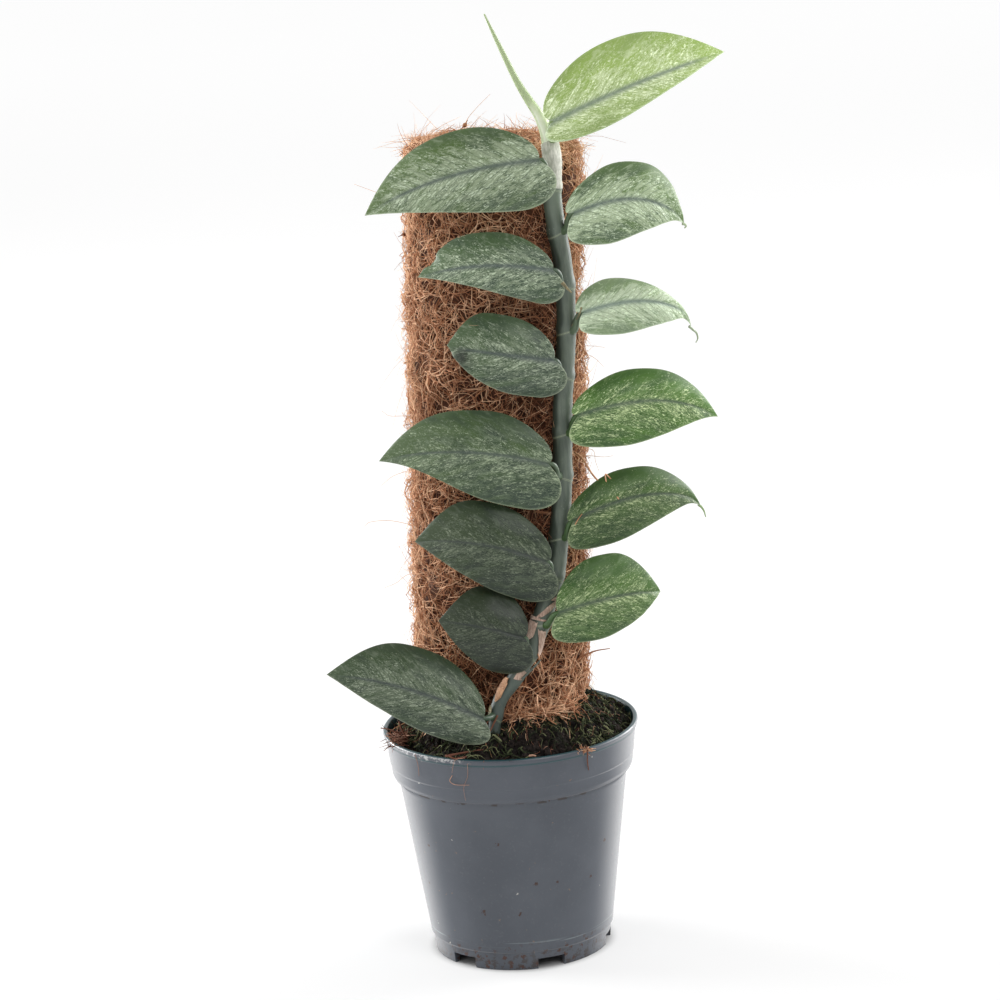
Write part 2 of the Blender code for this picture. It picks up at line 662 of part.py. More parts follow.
def leaf_frame(leaf, path):
    """The notch's place, and the directions along the chord, up across the blade and out of it."""
    pitch = math.radians(leaf.pitch)
    swing = math.radians(leaf.swing)
    tilt = math.radians(leaf.tilt)
    level = Vector((leaf.side * math.cos(swing), math.sin(swing), 0.0))
    along = level * math.cos(pitch) + Vector((0.0, 0.0, math.sin(pitch)))
    up = Vector((0.0, 0.0, math.cos(pitch))) - level * math.sin(pitch)
    out = leaf.side * along.cross(up)
    centre, _ = stem_at(leaf.notch_z, path)
    notch = Vector((leaf.notch_x, centre.y - leaf.forward, leaf.notch_z))
    tilted_up = up * math.cos(tilt) - out * math.sin(tilt)
    tilted_out = out * math.cos(tilt) + up * math.sin(tilt)
    return notch, along, tilted_up, tilted_out


def stalk_rings(leaf, frame, path, bm):
    """Rings of six points from the notch down to the stem, the first of each facing out of the blade.

    The stalk is a Bezier curve: straight out of the stem at its joint, then round and up into the
    blade from behind. Each ring is turned no more than the curve itself turns.
    """
    notch, along_way, up_way, out_way = frame
    centre, stem_way = stem_at(leaf.notch_z - leaf.drop, path)
    outward = notch - centre
    outward = (outward - stem_way * outward.dot(stem_way)).normalized()
    foot = centre + outward * (stem_radius(leaf.notch_z - leaf.drop) + GAP)
    arrival = (along_way + STALK_RISE * out_way).normalized()
    handle = 0.42 * (notch - foot).length
    controls = (notch, notch - handle * arrival, foot + handle * outward, foot)
    front = out_way
    rings = []
    for index in range(STALK_RINGS):
        t = index / (STALK_RINGS - 1)
        weights = ((1 - t) ** 3, 3 * t * (1 - t) ** 2, 3 * t * t * (1 - t), t ** 3)
        slopes = (-(1 - t) ** 2, (1 - t) * (1 - 3 * t), t * (2 - 3 * t), t * t)
        middle = Vector()
        tangent = Vector()
        for control, weight, slope in zip(controls, weights, slopes):
            middle += weight * control
            tangent -= slope * control
        tangent.normalize()
        front = (front - tangent * front.dot(tangent)).normalized()
        upper = front.cross(tangent) * leaf.side
        if index == 0 and upper.dot(up_way) < 0.0:
            upper.negate()
        radius = STALK_TIP_RADIUS + t * (STALK_RADIUS - STALK_TIP_RADIUS)
        ring = []
        for corner in range(6):
            angle = math.tau * corner / 6
            ring.append(bm.verts.new(middle + radius * (math.cos(angle) * front + math.sin(angle) * upper)))
        rings.append(ring)
    return rings


def blade_rows(leaf, frame, side, bm):
    """The points of one face of the blade: ribs from the lower edge over the midrib to the upper."""
    notch, along_way, up_way, out_way = frame

    def place(along, across):
        lift = midrib_lift(leaf, along) + across
        height = blade_height(leaf, along, across) + side * BLADE_THICKNESS / 2
        return bm.verts.new(notch + along * along_way + lift * up_way + height * out_way)

    rows = []
    for rib in range(1, RIBS):
        t = rib / RIBS
        root = leaf.length * t ** RIB_SPREAD
        row = []
        for column in range(-CELLS, CELLS + 1):
            half = 1 if column > 0 else -1
            share = abs(column) / CELLS
            edge_along, edge_across = edge_point(leaf, t, half)
            row.append(place(root + share * (edge_along - root), half * share * edge_across))
        rows.append(row)
    return rows, place(leaf.length, 0.0)


def face_triangles(rows, tip, corner_low, corner_middle, corner_high):
    """One face of the blade, from the stalk's three near corners to the tip. The diagonals of the two
    halves mirror each other, so both faces of the blade fold along the same lines."""
    cells = 2 * CELLS
    third = CELLS - 1
    first = rows[0]
    triangles = []
    for cell in range(cells):
        if cell < third:
            corner = corner_low
        elif cell < cells - third:
            corner = corner_middle
        else:
            corner = corner_high
        triangles.append((corner, first[cell + 1], first[cell]))
        triangles.append((tip, rows[-1][cell], rows[-1][cell + 1]))
    triangles.append((corner_low, corner_middle, first[third]))
    triangles.append((corner_middle, corner_high, first[cells - third]))
    for near, far in zip(rows, rows[1:]):
        for cell in range(cells):
            if cell < CELLS:
                triangles.append((near[cell], near[cell + 1], far[cell + 1]))
                triangles.append((near[cell], far[cell + 1], far[cell]))
            else:
                triangles.append((near[cell], near[cell + 1], far[cell]))
                triangles.append((near[cell + 1], far[cell + 1], far[cell]))
    return triangles


def leaf_bmesh(leaf, frame, path):
    """A closed sheet, BLADE_THICKNESS thick, that runs into its own stalk at the notch."""
    bm = bmesh.new()
    rings = stalk_rings(leaf, frame, path, bm)
    front, front_tip = blade_rows(leaf, frame, 1, bm)
    back, back_tip = blade_rows(leaf, frame, -1, bm)
    middle, high, back_high, back_middle, back_low, low = rings[0]
    triangles = face_triangles(front, front_tip, low, middle, high)
    back_faces = face_triangles(back, back_tip, back_low, back_middle, back_high)
    triangles += [corners[::-1] for corners in back_faces]
    for edge, near, far in ((0, low, back_low), (2 * CELLS, high, back_high)):
        front_edge = [near] + [row[edge] for row in front] + [front_tip]
        back_edge = [far] + [row[edge] for row in back] + [back_tip]
        for index in range(len(front_edge) - 1):
            corners = (front_edge[index], front_edge[index + 1], back_edge[index + 1], back_edge[index])
            triangles.append(corners[:3])
            triangles.append((corners[0], corners[2], corners[3]))
    for near, far in zip(rings, rings[1:]):
        for side in range(6):
            after = (side + 1) % 6
            triangles.append((near[side], near[after], far[after]))
            triangles.append((near[side], far[after], far[side]))
    for corners in triangles:
        bm.faces.new(corners)
    bm.faces.new(rings[-1])
    return bm


def make_leaf(leaf, path):
    look = YOUNG_FINISH if leaf.name == "leaf_right_1" else LEAF_FINISH
    piece(leaf.name, leaf_bmesh(leaf, leaf_frame(leaf, path), path), look, 60.0)


# Young shoot

def make_shoot(path):
    """The sheath on the stem's end and the rolled leaf that comes out of it, grown as one."""
    low, high = STEM_TOP_Z + GAP, SHOOT_ROUTE[-1][1]
    steps = round((high - low) / SHOOT_STEP)
    heights = [low + (high - low) * step / steps for step in range(steps + 1)]
    centres = [stem_at(z, path)[0] for z in heights]
    radii = [stem_radius(z) for z in heights]
    piece("young_shoot", tube(centres, radii, SHOOT_SIDES), YOUNG_FINISH, 60.0)


# Dry scale leaves

def scale_bmesh(z, facing, wrap, length, path):
    """A curved plate that wraps one side of the stem, flaring a little towards its upper edge."""
    bm = bmesh.new()
    skins = []
    for skin in (0.0, SCALE_THICKNESS):
        rows = []
        for ring in range(SCALE_RINGS):
            share = ring / (SCALE_RINGS - 1)
            height = z + length * (share - 0.5)
            centre, way = stem_at(height, path)
            side_way = Vector((0.0, 1.0, 0.0)).cross(way).normalized()
            front_way = side_way.cross(way).normalized()
            row = []
            for segment in range(SCALE_SEGMENTS + 1):
                angle = math.radians(facing + wrap * (segment / SCALE_SEGMENTS - 0.5))
                reach = stem_radius(height) + SCALE_STAND_OFF + SCALE_FLARE * share + skin
                outward = math.cos(angle) * front_way + math.sin(angle) * side_way
                row.append(bm.verts.new(centre + reach * outward))
            rows.append(row)
        skins.append(rows)
    inner, outer = skins
    for rows, flip in ((inner, True), (outer, False)):
        for low, high in zip(rows, rows[1:]):
            for segment in range(SCALE_SEGMENTS):
                corners = (low[segment], low[segment + 1], high[segment + 1], high[segment])
                bm.faces.new(corners[::-1] if flip else corners)
    for low, high in ((inner[0], outer[0]), (outer[-1], inner[-1])):
        for segment in range(SCALE_SEGMENTS):
            bm.faces.new((low[segment], low[segment + 1], high[segment + 1], high[segment]))
    for end in (0, SCALE_SEGMENTS):
        for ring in range(SCALE_RINGS - 1):
            bm.faces.new((inner[ring][end], outer[ring][end], outer[ring + 1][end], inner[ring + 1][end]))
    return bm


def make_scales(path):
    for index, sizes in enumerate(SCALES):
        piece(f"dry_scale_{index + 1}", scale_bmesh(*sizes, path), SCALE_FINISH, 50.0)


def main():
    clear_scene()
    path = stem_path()
    make_pot()
    make_mix(path)
    make_pole()
    make_stem(path)
    make_shoot(path)
    make_scales(path)
    for leaf in LEAVES:
        make_leaf(leaf, path)


main()
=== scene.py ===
# %% [markdown]
# # A young climber on a coir pole
# The plant is a climber whose stem holds on to a pole wrapped in coconut fibre, in a plastic nursery pot.
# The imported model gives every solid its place. This lesson dresses each one: leaves with veins and
# silvery flecks, a mat of real fibres, loose peat with moss, and a moulded pot with its drain notches.

import math
from dataclasses import dataclass, field
from types import SimpleNamespace

import bmesh
import bpy
import numpy as np
from mathutils import Matrix, Vector


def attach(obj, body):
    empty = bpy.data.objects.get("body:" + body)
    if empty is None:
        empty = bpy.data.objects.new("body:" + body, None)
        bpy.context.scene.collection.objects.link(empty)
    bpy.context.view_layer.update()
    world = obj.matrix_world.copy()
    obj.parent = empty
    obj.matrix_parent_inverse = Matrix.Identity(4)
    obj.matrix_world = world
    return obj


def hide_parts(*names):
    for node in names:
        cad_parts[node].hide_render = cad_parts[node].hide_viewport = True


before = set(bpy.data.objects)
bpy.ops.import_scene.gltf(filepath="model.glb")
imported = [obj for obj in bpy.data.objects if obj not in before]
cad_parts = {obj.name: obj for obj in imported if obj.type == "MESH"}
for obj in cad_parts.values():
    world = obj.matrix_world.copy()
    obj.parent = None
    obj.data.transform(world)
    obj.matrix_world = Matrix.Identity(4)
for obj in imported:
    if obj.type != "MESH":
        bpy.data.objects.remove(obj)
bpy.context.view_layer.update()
MM = 0.001
print("solids to dress:", ", ".join(sorted(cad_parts)))

# %% [markdown]
# ## Camera, floor and light
# The photograph was taken with a long lens from a little above the pot, and the camera was turned a few
# degrees, so the plant leans in the picture. A turned camera gives that lean and leaves the part upright.

# %% Camera
ELEVATION, ROLL = math.radians(14.1952), math.radians(-3.497)
CAMERA_PLACE, LENS_MM, SENSOR_MM, FAR_CLIP = (0.0016, -1.7968, 0.6705), 144.0, 36.0, 50.0


def placed(name, data, matrix=None):
    """A new object in the scene, at the origin or where the matrix puts it."""
    made = bpy.data.objects.new(name, data)
    bpy.context.scene.collection.objects.link(made)
    if matrix is not None:
        made.matrix_world = matrix
    return made


level = Vector((1.0, 0.0, 0.0))
forward = Vector((0.0, math.cos(ELEVATION), -math.sin(ELEVATION)))
level_up = level.cross(forward)
picture_right = math.cos(ROLL) * level + math.sin(ROLL) * level_up
picture_up = math.cos(ROLL) * level_up - math.sin(ROLL) * level
turn = Matrix((picture_right, picture_up, -forward)).transposed().to_4x4()
lens = bpy.data.cameras.new("camera")
lens.lens, lens.sensor_width, lens.clip_end = LENS_MM, SENSOR_MM, FAR_CLIP
bpy.context.scene.camera = placed("camera", lens, Matrix.Translation(CAMERA_PLACE) @ turn)
print("camera stands", round(Vector(CAMERA_PLACE).length, 3), "m from the pot's foot")

# %% [markdown]
# Recipes for materials and for the world are both trees of nodes. One function adds a node and hands back
# its output as a wire. Wires can be added and multiplied, so a recipe reads like any other sum.

# %% Node helper


class Wire:
    """A node's output. Sums, products and steps of wires are wires too."""

    def __init__(self, tree, socket):
        self.tree, self.socket = tree, socket

    def sum(self, operation, other=0.0):
        return add_node(self.tree, "Math", {0: self, 1: other}, operation=operation)

    def __mul__(self, other):
        return self.sum("MULTIPLY", other)

    def __add__(self, other):
        return self.sum("ADD", other)

    def step(self, low, high, start=0.0, end=1.0):
        """Start below low, end above high, and an even S between them."""
        limits = {"From Min": low, "From Max": high, "To Min": start, "To Max": end}
        return add_node(self.tree, "MapRange", {"Value": self, **limits}, interpolation_type="SMOOTHSTEP")


def feed(tree, socket, value):
    """Link a wire to a socket, or set the socket to a number or a colour."""
    if isinstance(value, Wire):
        tree.links.new(value.socket, socket)
    elif isinstance(value, tuple) and socket.type == "RGBA":
        socket.default_value = (*value, 1.0)
    else:
        socket.default_value = value


def add_node(tree, kind, inputs, output=0, **settings):
    """Add a node, set its options, feed its inputs, and return one of its outputs."""
    made = tree.nodes.new("ShaderNode" + kind)
    for name, value in settings.items():
        setattr(made, name, value)
    for name, value in inputs.items():
        feed(tree, made.inputs[name], value)
    return Wire(tree, made.outputs[output])


def parts_of(tree, vector):
    """The X, Y and Z of a vector."""
    split = add_node(tree, "SeparateXYZ", {"Vector": vector}).socket.node
    return [Wire(tree, output) for output in split.outputs]


print("a node's kinds start with ShaderNode, as in ShaderNodeMix")

# %% [markdown]
# The studio is white behind the plant and dim on the camera's side. Seen at a low angle, the smooth pot
# mirrors the white, which draws its pale, blurred edges. Two lamps behind it strengthen them, and a large
# one at the front right gives the leaves and the stem their shape.

# %% Light
bpy.context.scene.view_settings.view_transform = "Standard"
world = bpy.data.worlds.new("studio")
world.use_nodes = True
bpy.context.scene.world = world
sky = world.node_tree
_, way_y, way_z = parts_of(sky, add_node(sky, "TexCoord", {}, "Generated"))
brightness = way_y.step(-0.5, 0.25) * way_z.step(0.2, 0.9, 0.85, 0.42) + 0.32
feed(sky, sky.nodes["Background"].inputs["Color"], (1.0, 1.0, 1.0))
feed(sky, sky.nodes["Background"].inputs["Strength"], brightness)


def soft_light(name, place, size, power):
    """A square area light at place that looks at the middle of the plant."""
    light = bpy.data.lights.new(name, "AREA")
    light.size, light.energy = size, power
    aim = (Vector((0.0, 0.0, 0.2)) - Vector(place)).to_track_quat("-Z", "Y")
    placed(name, light, Matrix.Translation(place) @ aim.to_matrix().to_4x4())


soft_light("left_edge_light", (-1.5, 0.70, 0.45), 1.1, 46.0)
soft_light("right_edge_light", (1.6, 0.80, 0.55), 1.1, 36.0)
soft_light("key_light", (0.95, -1.4, 1.5), 0.9, 17.0)
soft_light("fill_light", (-1.3, -1.2, 0.9), 1.3, 8.0)

# %% [markdown]
# ## Surfaces from arrays
# Every new surface below is a grid of points worked out with numpy, so a whole leaf or a thousand fibres
# is one sum. A shape keeps its points, its faces, and the numbers that its finish will read.

# %% Shapes and pieces


@dataclass
class Shape:
    """Points in millimetres, faces as arrays of corner numbers, and values stored on the points."""

    points: np.ndarray
    faces: list
    values: dict = field(default_factory=dict)
    uv: np.ndarray = None


def stack(*parts):
    """Arrays of one shape, put side by side along a new last axis."""
    return np.stack(parts, axis=-1)


def join(shapes):
    """One shape out of several, with each one's corner numbers moved past those before it."""
    starts = np.cumsum([0] + [len(shape.points) for shape in shapes])
    faces = [group + start for shape, start in zip(shapes, starts) for group in shape.faces]
    names = sorted({name for shape in shapes for name in shape.values})
    zeros = [np.zeros(len(shape.points)) for shape in shapes]
    values = {name: np.concatenate([shape.values.get(name, zero) for shape, zero in zip(shapes, zeros)])
              for name in names}
    uv = None
    if any(shape.uv is not None for shape in shapes):
        uv = np.concatenate([np.zeros((len(shape.points), 2)) if shape.uv is None else shape.uv
                             for shape in shapes])
    return Shape(np.concatenate([shape.points for shape in shapes]), faces, values, uv)


def grid_faces(rows, columns, close_columns=False):
    """The four corners of each cell of a grid whose points are numbered row by row."""
    row, column = np.meshgrid(np.arange(rows - 1), np.arange(columns if close_columns else columns - 1),
                              indexing="ij")
    following = (column + 1) % columns
    corners = (row * columns + column, row * columns + following,
               (row + 1) * columns + following, (row + 1) * columns + column)
    return np.stack(corners, axis=-1).reshape(-1, 4)


def closed_volume(shape):
    """Six times the volume a closed shape holds: positive when its faces point out."""
    total = 0.0
    for group in shape.faces:
        first, second = shape.points[group[:, 0]], shape.points[group[:, 1]]
        for corner in range(2, group.shape[1]):
            third = shape.points[group[:, corner]]
            total += np.einsum("ij,ij->", first, np.cross(second, third))
            second = third
    return total


def piece(name, shape, finish, nodes=(), smooth_deg=60.0, merge=True):
    """Make a shape an object that rides on the part, and that stands for the CAD nodes named."""
    faces = shape.faces if closed_volume(shape) > 0.0 else [group[:, ::-1] for group in shape.faces]
    corners = np.concatenate([group.ravel() for group in faces])
    sizes = np.concatenate([np.full(len(group), group.shape[1]) for group in faces])
    mesh = bpy.data.meshes.new(name)
    mesh.vertices.add(len(shape.points))
    mesh.vertices.foreach_set("co", (shape.points * MM).astype(np.float32).ravel())
    mesh.loops.add(len(corners))
    mesh.loops.foreach_set("vertex_index", corners.astype(np.int32))
    mesh.polygons.add(len(sizes))
    mesh.polygons.foreach_set("loop_start", (np.cumsum(sizes) - sizes).astype(np.int32))
    mesh.update(calc_edges=True)
    if shape.uv is not None:
        layer = mesh.uv_layers.new(name="pattern")
        layer.data.foreach_set("uv", shape.uv[corners].astype(np.float32).ravel())
    for key, value in shape.values.items():
        stored = mesh.attributes.new(key, "FLOAT", "POINT")
        stored.data.foreach_set("value", value.astype(np.float32))
    if merge:
        bm = bmesh.new()
        bm.from_mesh(mesh)
        bmesh.ops.remove_doubles(bm, verts=bm.verts, dist=2e-7)
        bm.to_mesh(mesh)
        bm.free()
    mesh.shade_smooth()
    if smooth_deg < 180.0:
        mesh.set_sharp_from_angle(angle=math.radians(smooth_deg))
    mesh.materials.append(finish)
    made = placed(name, mesh)
    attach(made, "root")
    if nodes:
        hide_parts(*nodes)
    print(f"{name}: {(sizes - 2).sum()} triangles")
    return made


def loose_piece(name, shape, finish):
    """A piece of many separate tubes: no corners are merged and no edge is sharp."""
    return piece(name, shape, finish, smooth_deg=180.0, merge=False)


# %% [markdown]
# Natural surfaces need noise that repeats in every run. Random numbers on a lattice of whole numbers,
# blended between the lattice points, give it, and layers of finer copies make it look rough.

# %% Noise


def lattice(x, y, z, seed):
    """A number from -1 to 1 for each lattice point, scrambled out of its whole-number place."""
    mixed = (x * 73856093) ^ (y * 19349663) ^ (z * 83492791) ^ (seed * 2654435761)
    mixed = ((mixed ^ (mixed >> 13)) * 1274126177) & 0x7FFFFFFF
    mixed = (mixed ^ (mixed >> 15)) * 668265263 & 0x7FFFFFFF
    return (mixed >> 8) / float(0x7FFFFF) * 2.0 - 1.0


def noise(points, seed=0):
    """The eight lattice numbers round each point, blended with weights 3t^2 - 2t^3 along each axis."""
    base = np.floor(points).astype(np.int64)
    share = points - base
    share = share * share * (3.0 - 2.0 * share)
    total = np.zeros(points.shape[:-1])
    for corner in range(8):
        step = np.array([corner & 1, (corner >> 1) & 1, (corner >> 2) & 1])
        weight = np.prod(np.where(step == 1, share, 1.0 - share), axis=-1)
        spot = base + step
        total += weight * lattice(spot[..., 0], spot[..., 1], spot[..., 2], seed)
    return total


def rough(points, layers=3, seed=0):
    """Layers of noise, each twice as fine and half as strong as the one before."""
    return sum(noise(points * 2.0 ** layer, seed + layer) / 2.0 ** layer for layer in range(layers))


def smoothstep(low, high, value):
    """0 below low, 1 above high, and an even S between them."""
    share = np.clip((value - low) / (high - low), 0.0, 1.0)
    return share * share * (3.0 - 2.0 * share)


print("noise sample:", round(float(rough(np.array([[1.3, 2.7, 0.4]]))[0]), 4))

# %% [markdown]
# Stems, stalks, roots and fibres are all tubes. One function sweeps a ring along any number of paths at
# once and closes both ends, which makes a mat of thousands of fibres as easy as one stem.

# %% Tubes
UP = np.array([0.0, 0.0, 1.0])
STRAND_FACING = np.array([0.3, -0.5, 0.8])


def unit(vectors):
    """The same directions, one long."""
    return vectors / np.maximum(np.linalg.norm(vectors, axis=-1, keepdims=True), 1e-12)


def tubes(paths, radii, sides, facing, values=None):
    """Rings of points round each path. A ring lies across the path's direction, and starts from the
    side that facing points to. paths is (tubes, points, 3). radii and values are one number a point,
    or one a tube."""
    count, length = paths.shape[:2]
    radii = np.broadcast_to(radii, (count, length))
    ahead = unit(np.gradient(paths, axis=1))
    across = unit(np.cross(ahead, np.broadcast_to(facing, paths.shape)))
    over = np.cross(across, ahead)
    angle = math.tau * np.arange(sides) / sides
    spread = np.cos(angle)[:, None] * over[..., None, :] + np.sin(angle)[:, None] * across[..., None, :]
    rings = paths[:, :, None, :] + radii[:, :, None, None] * spread
    starts = np.arange(count) * length * sides
    quads = (starts[:, None, None] + grid_faces(length, sides, close_columns=True)[None]).reshape(-1, 4)
    side = np.arange(sides)
    caps = np.concatenate([starts[:, None] + side[::-1], starts[:, None] + (length - 1) * sides + side])
    kept = {name: np.repeat(np.broadcast_to(value, (count, length)), sides)
            for name, value in (values or {}).items()}
    return Shape(rings.reshape(-1, 3), [quads, caps], kept)


def curve_through(points, count):
    """A Catmull-Rom curve: between two points it is the cubic whose slope at each is half the way
    from the point before to the point after."""
    points = np.asarray(points, dtype=float)
    ends = np.concatenate([2 * points[:1] - points[1:2], points, 2 * points[-1:] - points[-2:-1]])
    place = np.linspace(0.0, len(points) - 1, count)
    span = np.minimum(place.astype(int), len(points) - 2)
    t = (place - span)[:, None]
    a, b, c, d = ends[span], ends[span + 1], ends[span + 2], ends[span + 3]
    return 0.5 * (2 * b + (c - a) * t + (2 * a - 5 * b + 4 * c - d) * t ** 2
                  + (3 * b - a - 3 * c + d) * t ** 3)


def single_strand(points, start_radius, end_radius, tone=0.5, knot=0.0):
    """One tube through a few points, with a bell-shaped knot in its middle where one is wanted."""
    path = curve_through(points, 6 * len(points))
    share = np.linspace(0.0, 1.0, len(path))
    radius = start_radius + share * (end_radius - start_radius)
    radius = radius + knot * np.exp(-((share - 0.5) / 0.16) ** 2)
    return tubes(path[None], radius, 6, STRAND_FACING, {"tone": tone})


print("a straight strand has", len(single_strand([(0, 0, 0), (1, 0, 0)], 0.2, 0.1).points), "points")

# %% Scattered tubes
FIBRE_TAPER = ([0.0, 0.15, 0.85, 1.0], [0.5, 1.0, 1.0, 0.4])
STRAND_TAPER = ([0.0, 0.2, 0.8, 1.0], [0.5, 1.0, 0.9, 0.3])


class Draws:
    """Random numbers from one seed or generator, in columns with one number a tube."""

    def __init__(self, count, seed):
        self.count, self.rng = count, np.random.default_rng(seed)

    def even(self, low, high):
        """Every number between low and high is as likely."""
        return self.rng.uniform(low, high, (self.count, 1))

    def bell(self, spread):
        """Numbers near 0 are the likeliest."""
        return self.rng.normal(0.0, spread, (self.count, 1))


def walk(heading, reach):
    """The running sums of steps of one reach along a changing heading."""
    return np.cumsum(np.cos(heading) * reach, axis=1), np.cumsum(np.sin(heading) * reach, axis=1)


def held_within(x, y, limit):
    """Points with their distance from the axis, pulled in where that is over the limit."""
    far = np.hypot(x, y)
    pulled = np.minimum(far, limit) / np.maximum(far, 1e-6)
    return x * pulled, y * pulled, far * pulled


print("a straight walk ends at", [float(line[0, -1]) for line in walk(np.zeros((1, 5)), 2.0)])

# %% [markdown]
# ## Finishes
# Each finish is a small recipe on Blender's Principled shader: it reads the object's own coordinates, or
# the values stored on the mesh, and lays one coat of colour over another as a painter would.

# %% Finish helper


class Finish:
    """A material that is built up node by node, and whose colour grows coat by coat."""

    def __init__(self, name):
        self.material = bpy.data.materials.new(name)
        self.material.use_nodes = True
        self.tree = self.material.node_tree
        self.colour = None

    def node(self, kind, inputs, output=0, **settings):
        return add_node(self.tree, kind, inputs, output, **settings)

    def place(self):
        return self.node("TexCoord", {}, "Object")

    def axes(self):
        return parts_of(self.tree, self.place())

    def from_axis(self):
        """The distance from the pot's axis, in metres."""
        x, y, _ = self.axes()
        return (x * x + y * y).sum("SQRT")

    def stored(self, name):
        return self.node("Attribute", {}, "Fac", attribute_name=name)

    def noise(self, vector, scale, detail=3.0, roughness=0.5, distortion=0.0, stretch=None,
              shift=(0.0, 0.0, 0.0)):
        if stretch:
            vector = self.node("Mapping", {"Vector": vector, "Scale": stretch, "Location": shift})
        return self.node("TexNoise", {"Vector": vector, "Scale": scale, "Detail": detail,
                                      "Roughness": roughness, "Distortion": distortion})

    def cells(self, vector, scale, output="Distance"):
        return self.node("TexVoronoi", {"Vector": vector, "Scale": scale}, output)

    def spots(self, vector, scale, size, chosen):
        """A round spot in the middle of some cells: chosen is the share of cells that have one."""
        lot = self.node("SeparateColor", {0: self.cells(vector, scale, "Color")}, "Red")
        return self.cells(vector, scale).step(size, 0.6 * size) * lot.step(chosen, chosen - 0.01)

    def blend(self, share, first, second):
        return self.node("Mix", {0: share, 6: first, 7: second}, 2, data_type="RGBA")

    def base(self, share, first, second):
        self.colour = self.blend(share, first, second)

    def coat(self, share, tint):
        """Lay a tint over the colour so far, as thickly as share says."""
        self.colour = self.blend(share, self.colour, tint)

    def bump(self, height, strength, distance):
        return self.node("Bump", {"Height": height, "Strength": strength, "Distance": distance})

    def wear(self, roughness, normal=None, **settings):
        """Feed the shader, and return the finished material."""
        inputs = {"Base Color": self.colour, "Roughness": roughness}
        if normal is not None:
            inputs["Normal"] = normal
        inputs.update({name.replace("_", " "): value for name, value in settings.items()})
        for name, value in inputs.items():
            feed(self.tree, self.tree.nodes["Principled BSDF"].inputs[name], value)
        return self.material


# %% [markdown]
# The floor is one wide white sheet that runs far past the picture. It glows a little, as lit studio paper
# does, so it looks evenly white and the shadow at the pot's foot stays faint. Under the pot the glow stops,
# which paints the shadow seen through the drain notches.

# %% Floor
FLOOR_CORNERS = [(-6.0, -4.0, 0.0), (6.0, -4.0, 0.0), (6.0, 9.0, 0.0), (-6.0, 9.0, 0.0)]
floor_mesh = bpy.data.meshes.new("floor")
floor_mesh.from_pydata(FLOOR_CORNERS, [], [(0, 1, 2, 3)])
floor = placed("floor", floor_mesh)
paper = Finish("white_floor")
paper.colour = (0.42, 0.42, 0.42)
from_pot = paper.from_axis()
# Painted shadow: the glow fades to nothing under the pot, and grows a little further off
glow_with_painted_shadow = from_pot.step(0.3, 3.4, 0.48, 0.70) * from_pot.step(0.038, 0.046)
floor_mesh.materials.append(paper.wear(0.9, Specular_IOR_Level=0.0, Emission_Color=(1.0, 1.0, 1.0),
                                       Emission_Strength=glow_with_painted_shadow))
print("floor corners:", FLOOR_CORNERS)

# %% [markdown]
# ## Pot
# A nursery pot is one thin injection-moulded shell: a tapered body, a step, a collar and a rolled lip.
# Spinning its section makes the shell in one go. The corners of the section are rounded first, as a mould
# rounds them, and six wedges then cut the drain notches out of the foot.

# %% Pot section
POT_HEIGHT, RIM_RADIUS, LIP_RADIUS, GROOVE_Z = 108.8, 60.0, 1.2, 85.6
SEGMENTS, SHARP_DEG = 144, 28.0
NOTCHES, FIRST_NOTCH_DEG, NOTCH_WIDTH_DEG, NOTCH_HEIGHT = 6, -72.3, 18.0, 5.3
NOTCH_RADII = (37.9, 45.2)
INNER_WALL = np.array([(4.8, 40.1), (9.4, 40.6), (85.3, 52.5), (89.8, 55.5), (108.8, 57.5)])


def inner_radius(z):
    """The inner wall's radius at a height, straight between the corners of the moulding."""
    return np.interp(z, INNER_WALL[:, 0], INNER_WALL[:, 1])


def rounded(section, reach, steps=4):
    """Each corner becomes a quadratic curve that starts and ends reach away from it, or a third of
    the way to the next corner where that is nearer."""
    before, corner, after = section[:-2], section[1:-1], section[2:]
    back, ahead = before - corner, after - corner
    back *= np.minimum(reach / np.linalg.norm(back, axis=1), 0.33)[:, None]
    ahead *= np.minimum(reach / np.linalg.norm(ahead, axis=1), 0.33)[:, None]
    t = np.linspace(0.0, 1.0, steps)[None, :, None]
    curve = corner[:, None] + (1 - t) ** 2 * back[:, None] + t ** 2 * ahead[:, None]
    return np.concatenate([section[:1], curve.reshape(-1, 2), section[-1:]])


def spun(section, segments):
    """Every point of a section (radius, height), carried once round the Z axis."""
    angle = math.tau * np.arange(segments) / segments
    radius, height = section[:, :1], section[:, 1:]
    points = stack(radius * np.cos(angle), radius * np.sin(angle), height + 0.0 * angle)
    return Shape(points.reshape(-1, 3), [grid_faces(len(section), segments, close_columns=True)])


lip_angle = np.radians([-40, -10, 20, 50, 80, 110, 140, 170])
lip_ring = stack(RIM_RADIUS - LIP_RADIUS + LIP_RADIUS * np.cos(lip_angle),
                 POT_HEIGHT - LIP_RADIUS + LIP_RADIUS * np.sin(lip_angle))
outside = np.array([
    (0.0, 0.0), (7.0, 0.0), (7.4, 3.4), (38.9, 3.4), (39.3, 0.0), (41.5, 0.0), (42.3, 8.8), (43.3, 9.3),
    (43.4, 10.6), (53.8, 85.3), (54.3, 86.1), (56.0, 86.6), (56.8, 88.6), (57.2, 93.2), (57.55, 93.7),
    (58.8, 105.2), (59.4, 105.6),
])
inside_z = np.array([105.6, 89.8, 85.3, 9.4, 4.8])
inside = stack(inner_radius(inside_z), inside_z)
section = np.concatenate([rounded(outside, 0.5), lip_ring, inside, [(0.0, 4.8)]])
print("pot section has", len(section), "points")
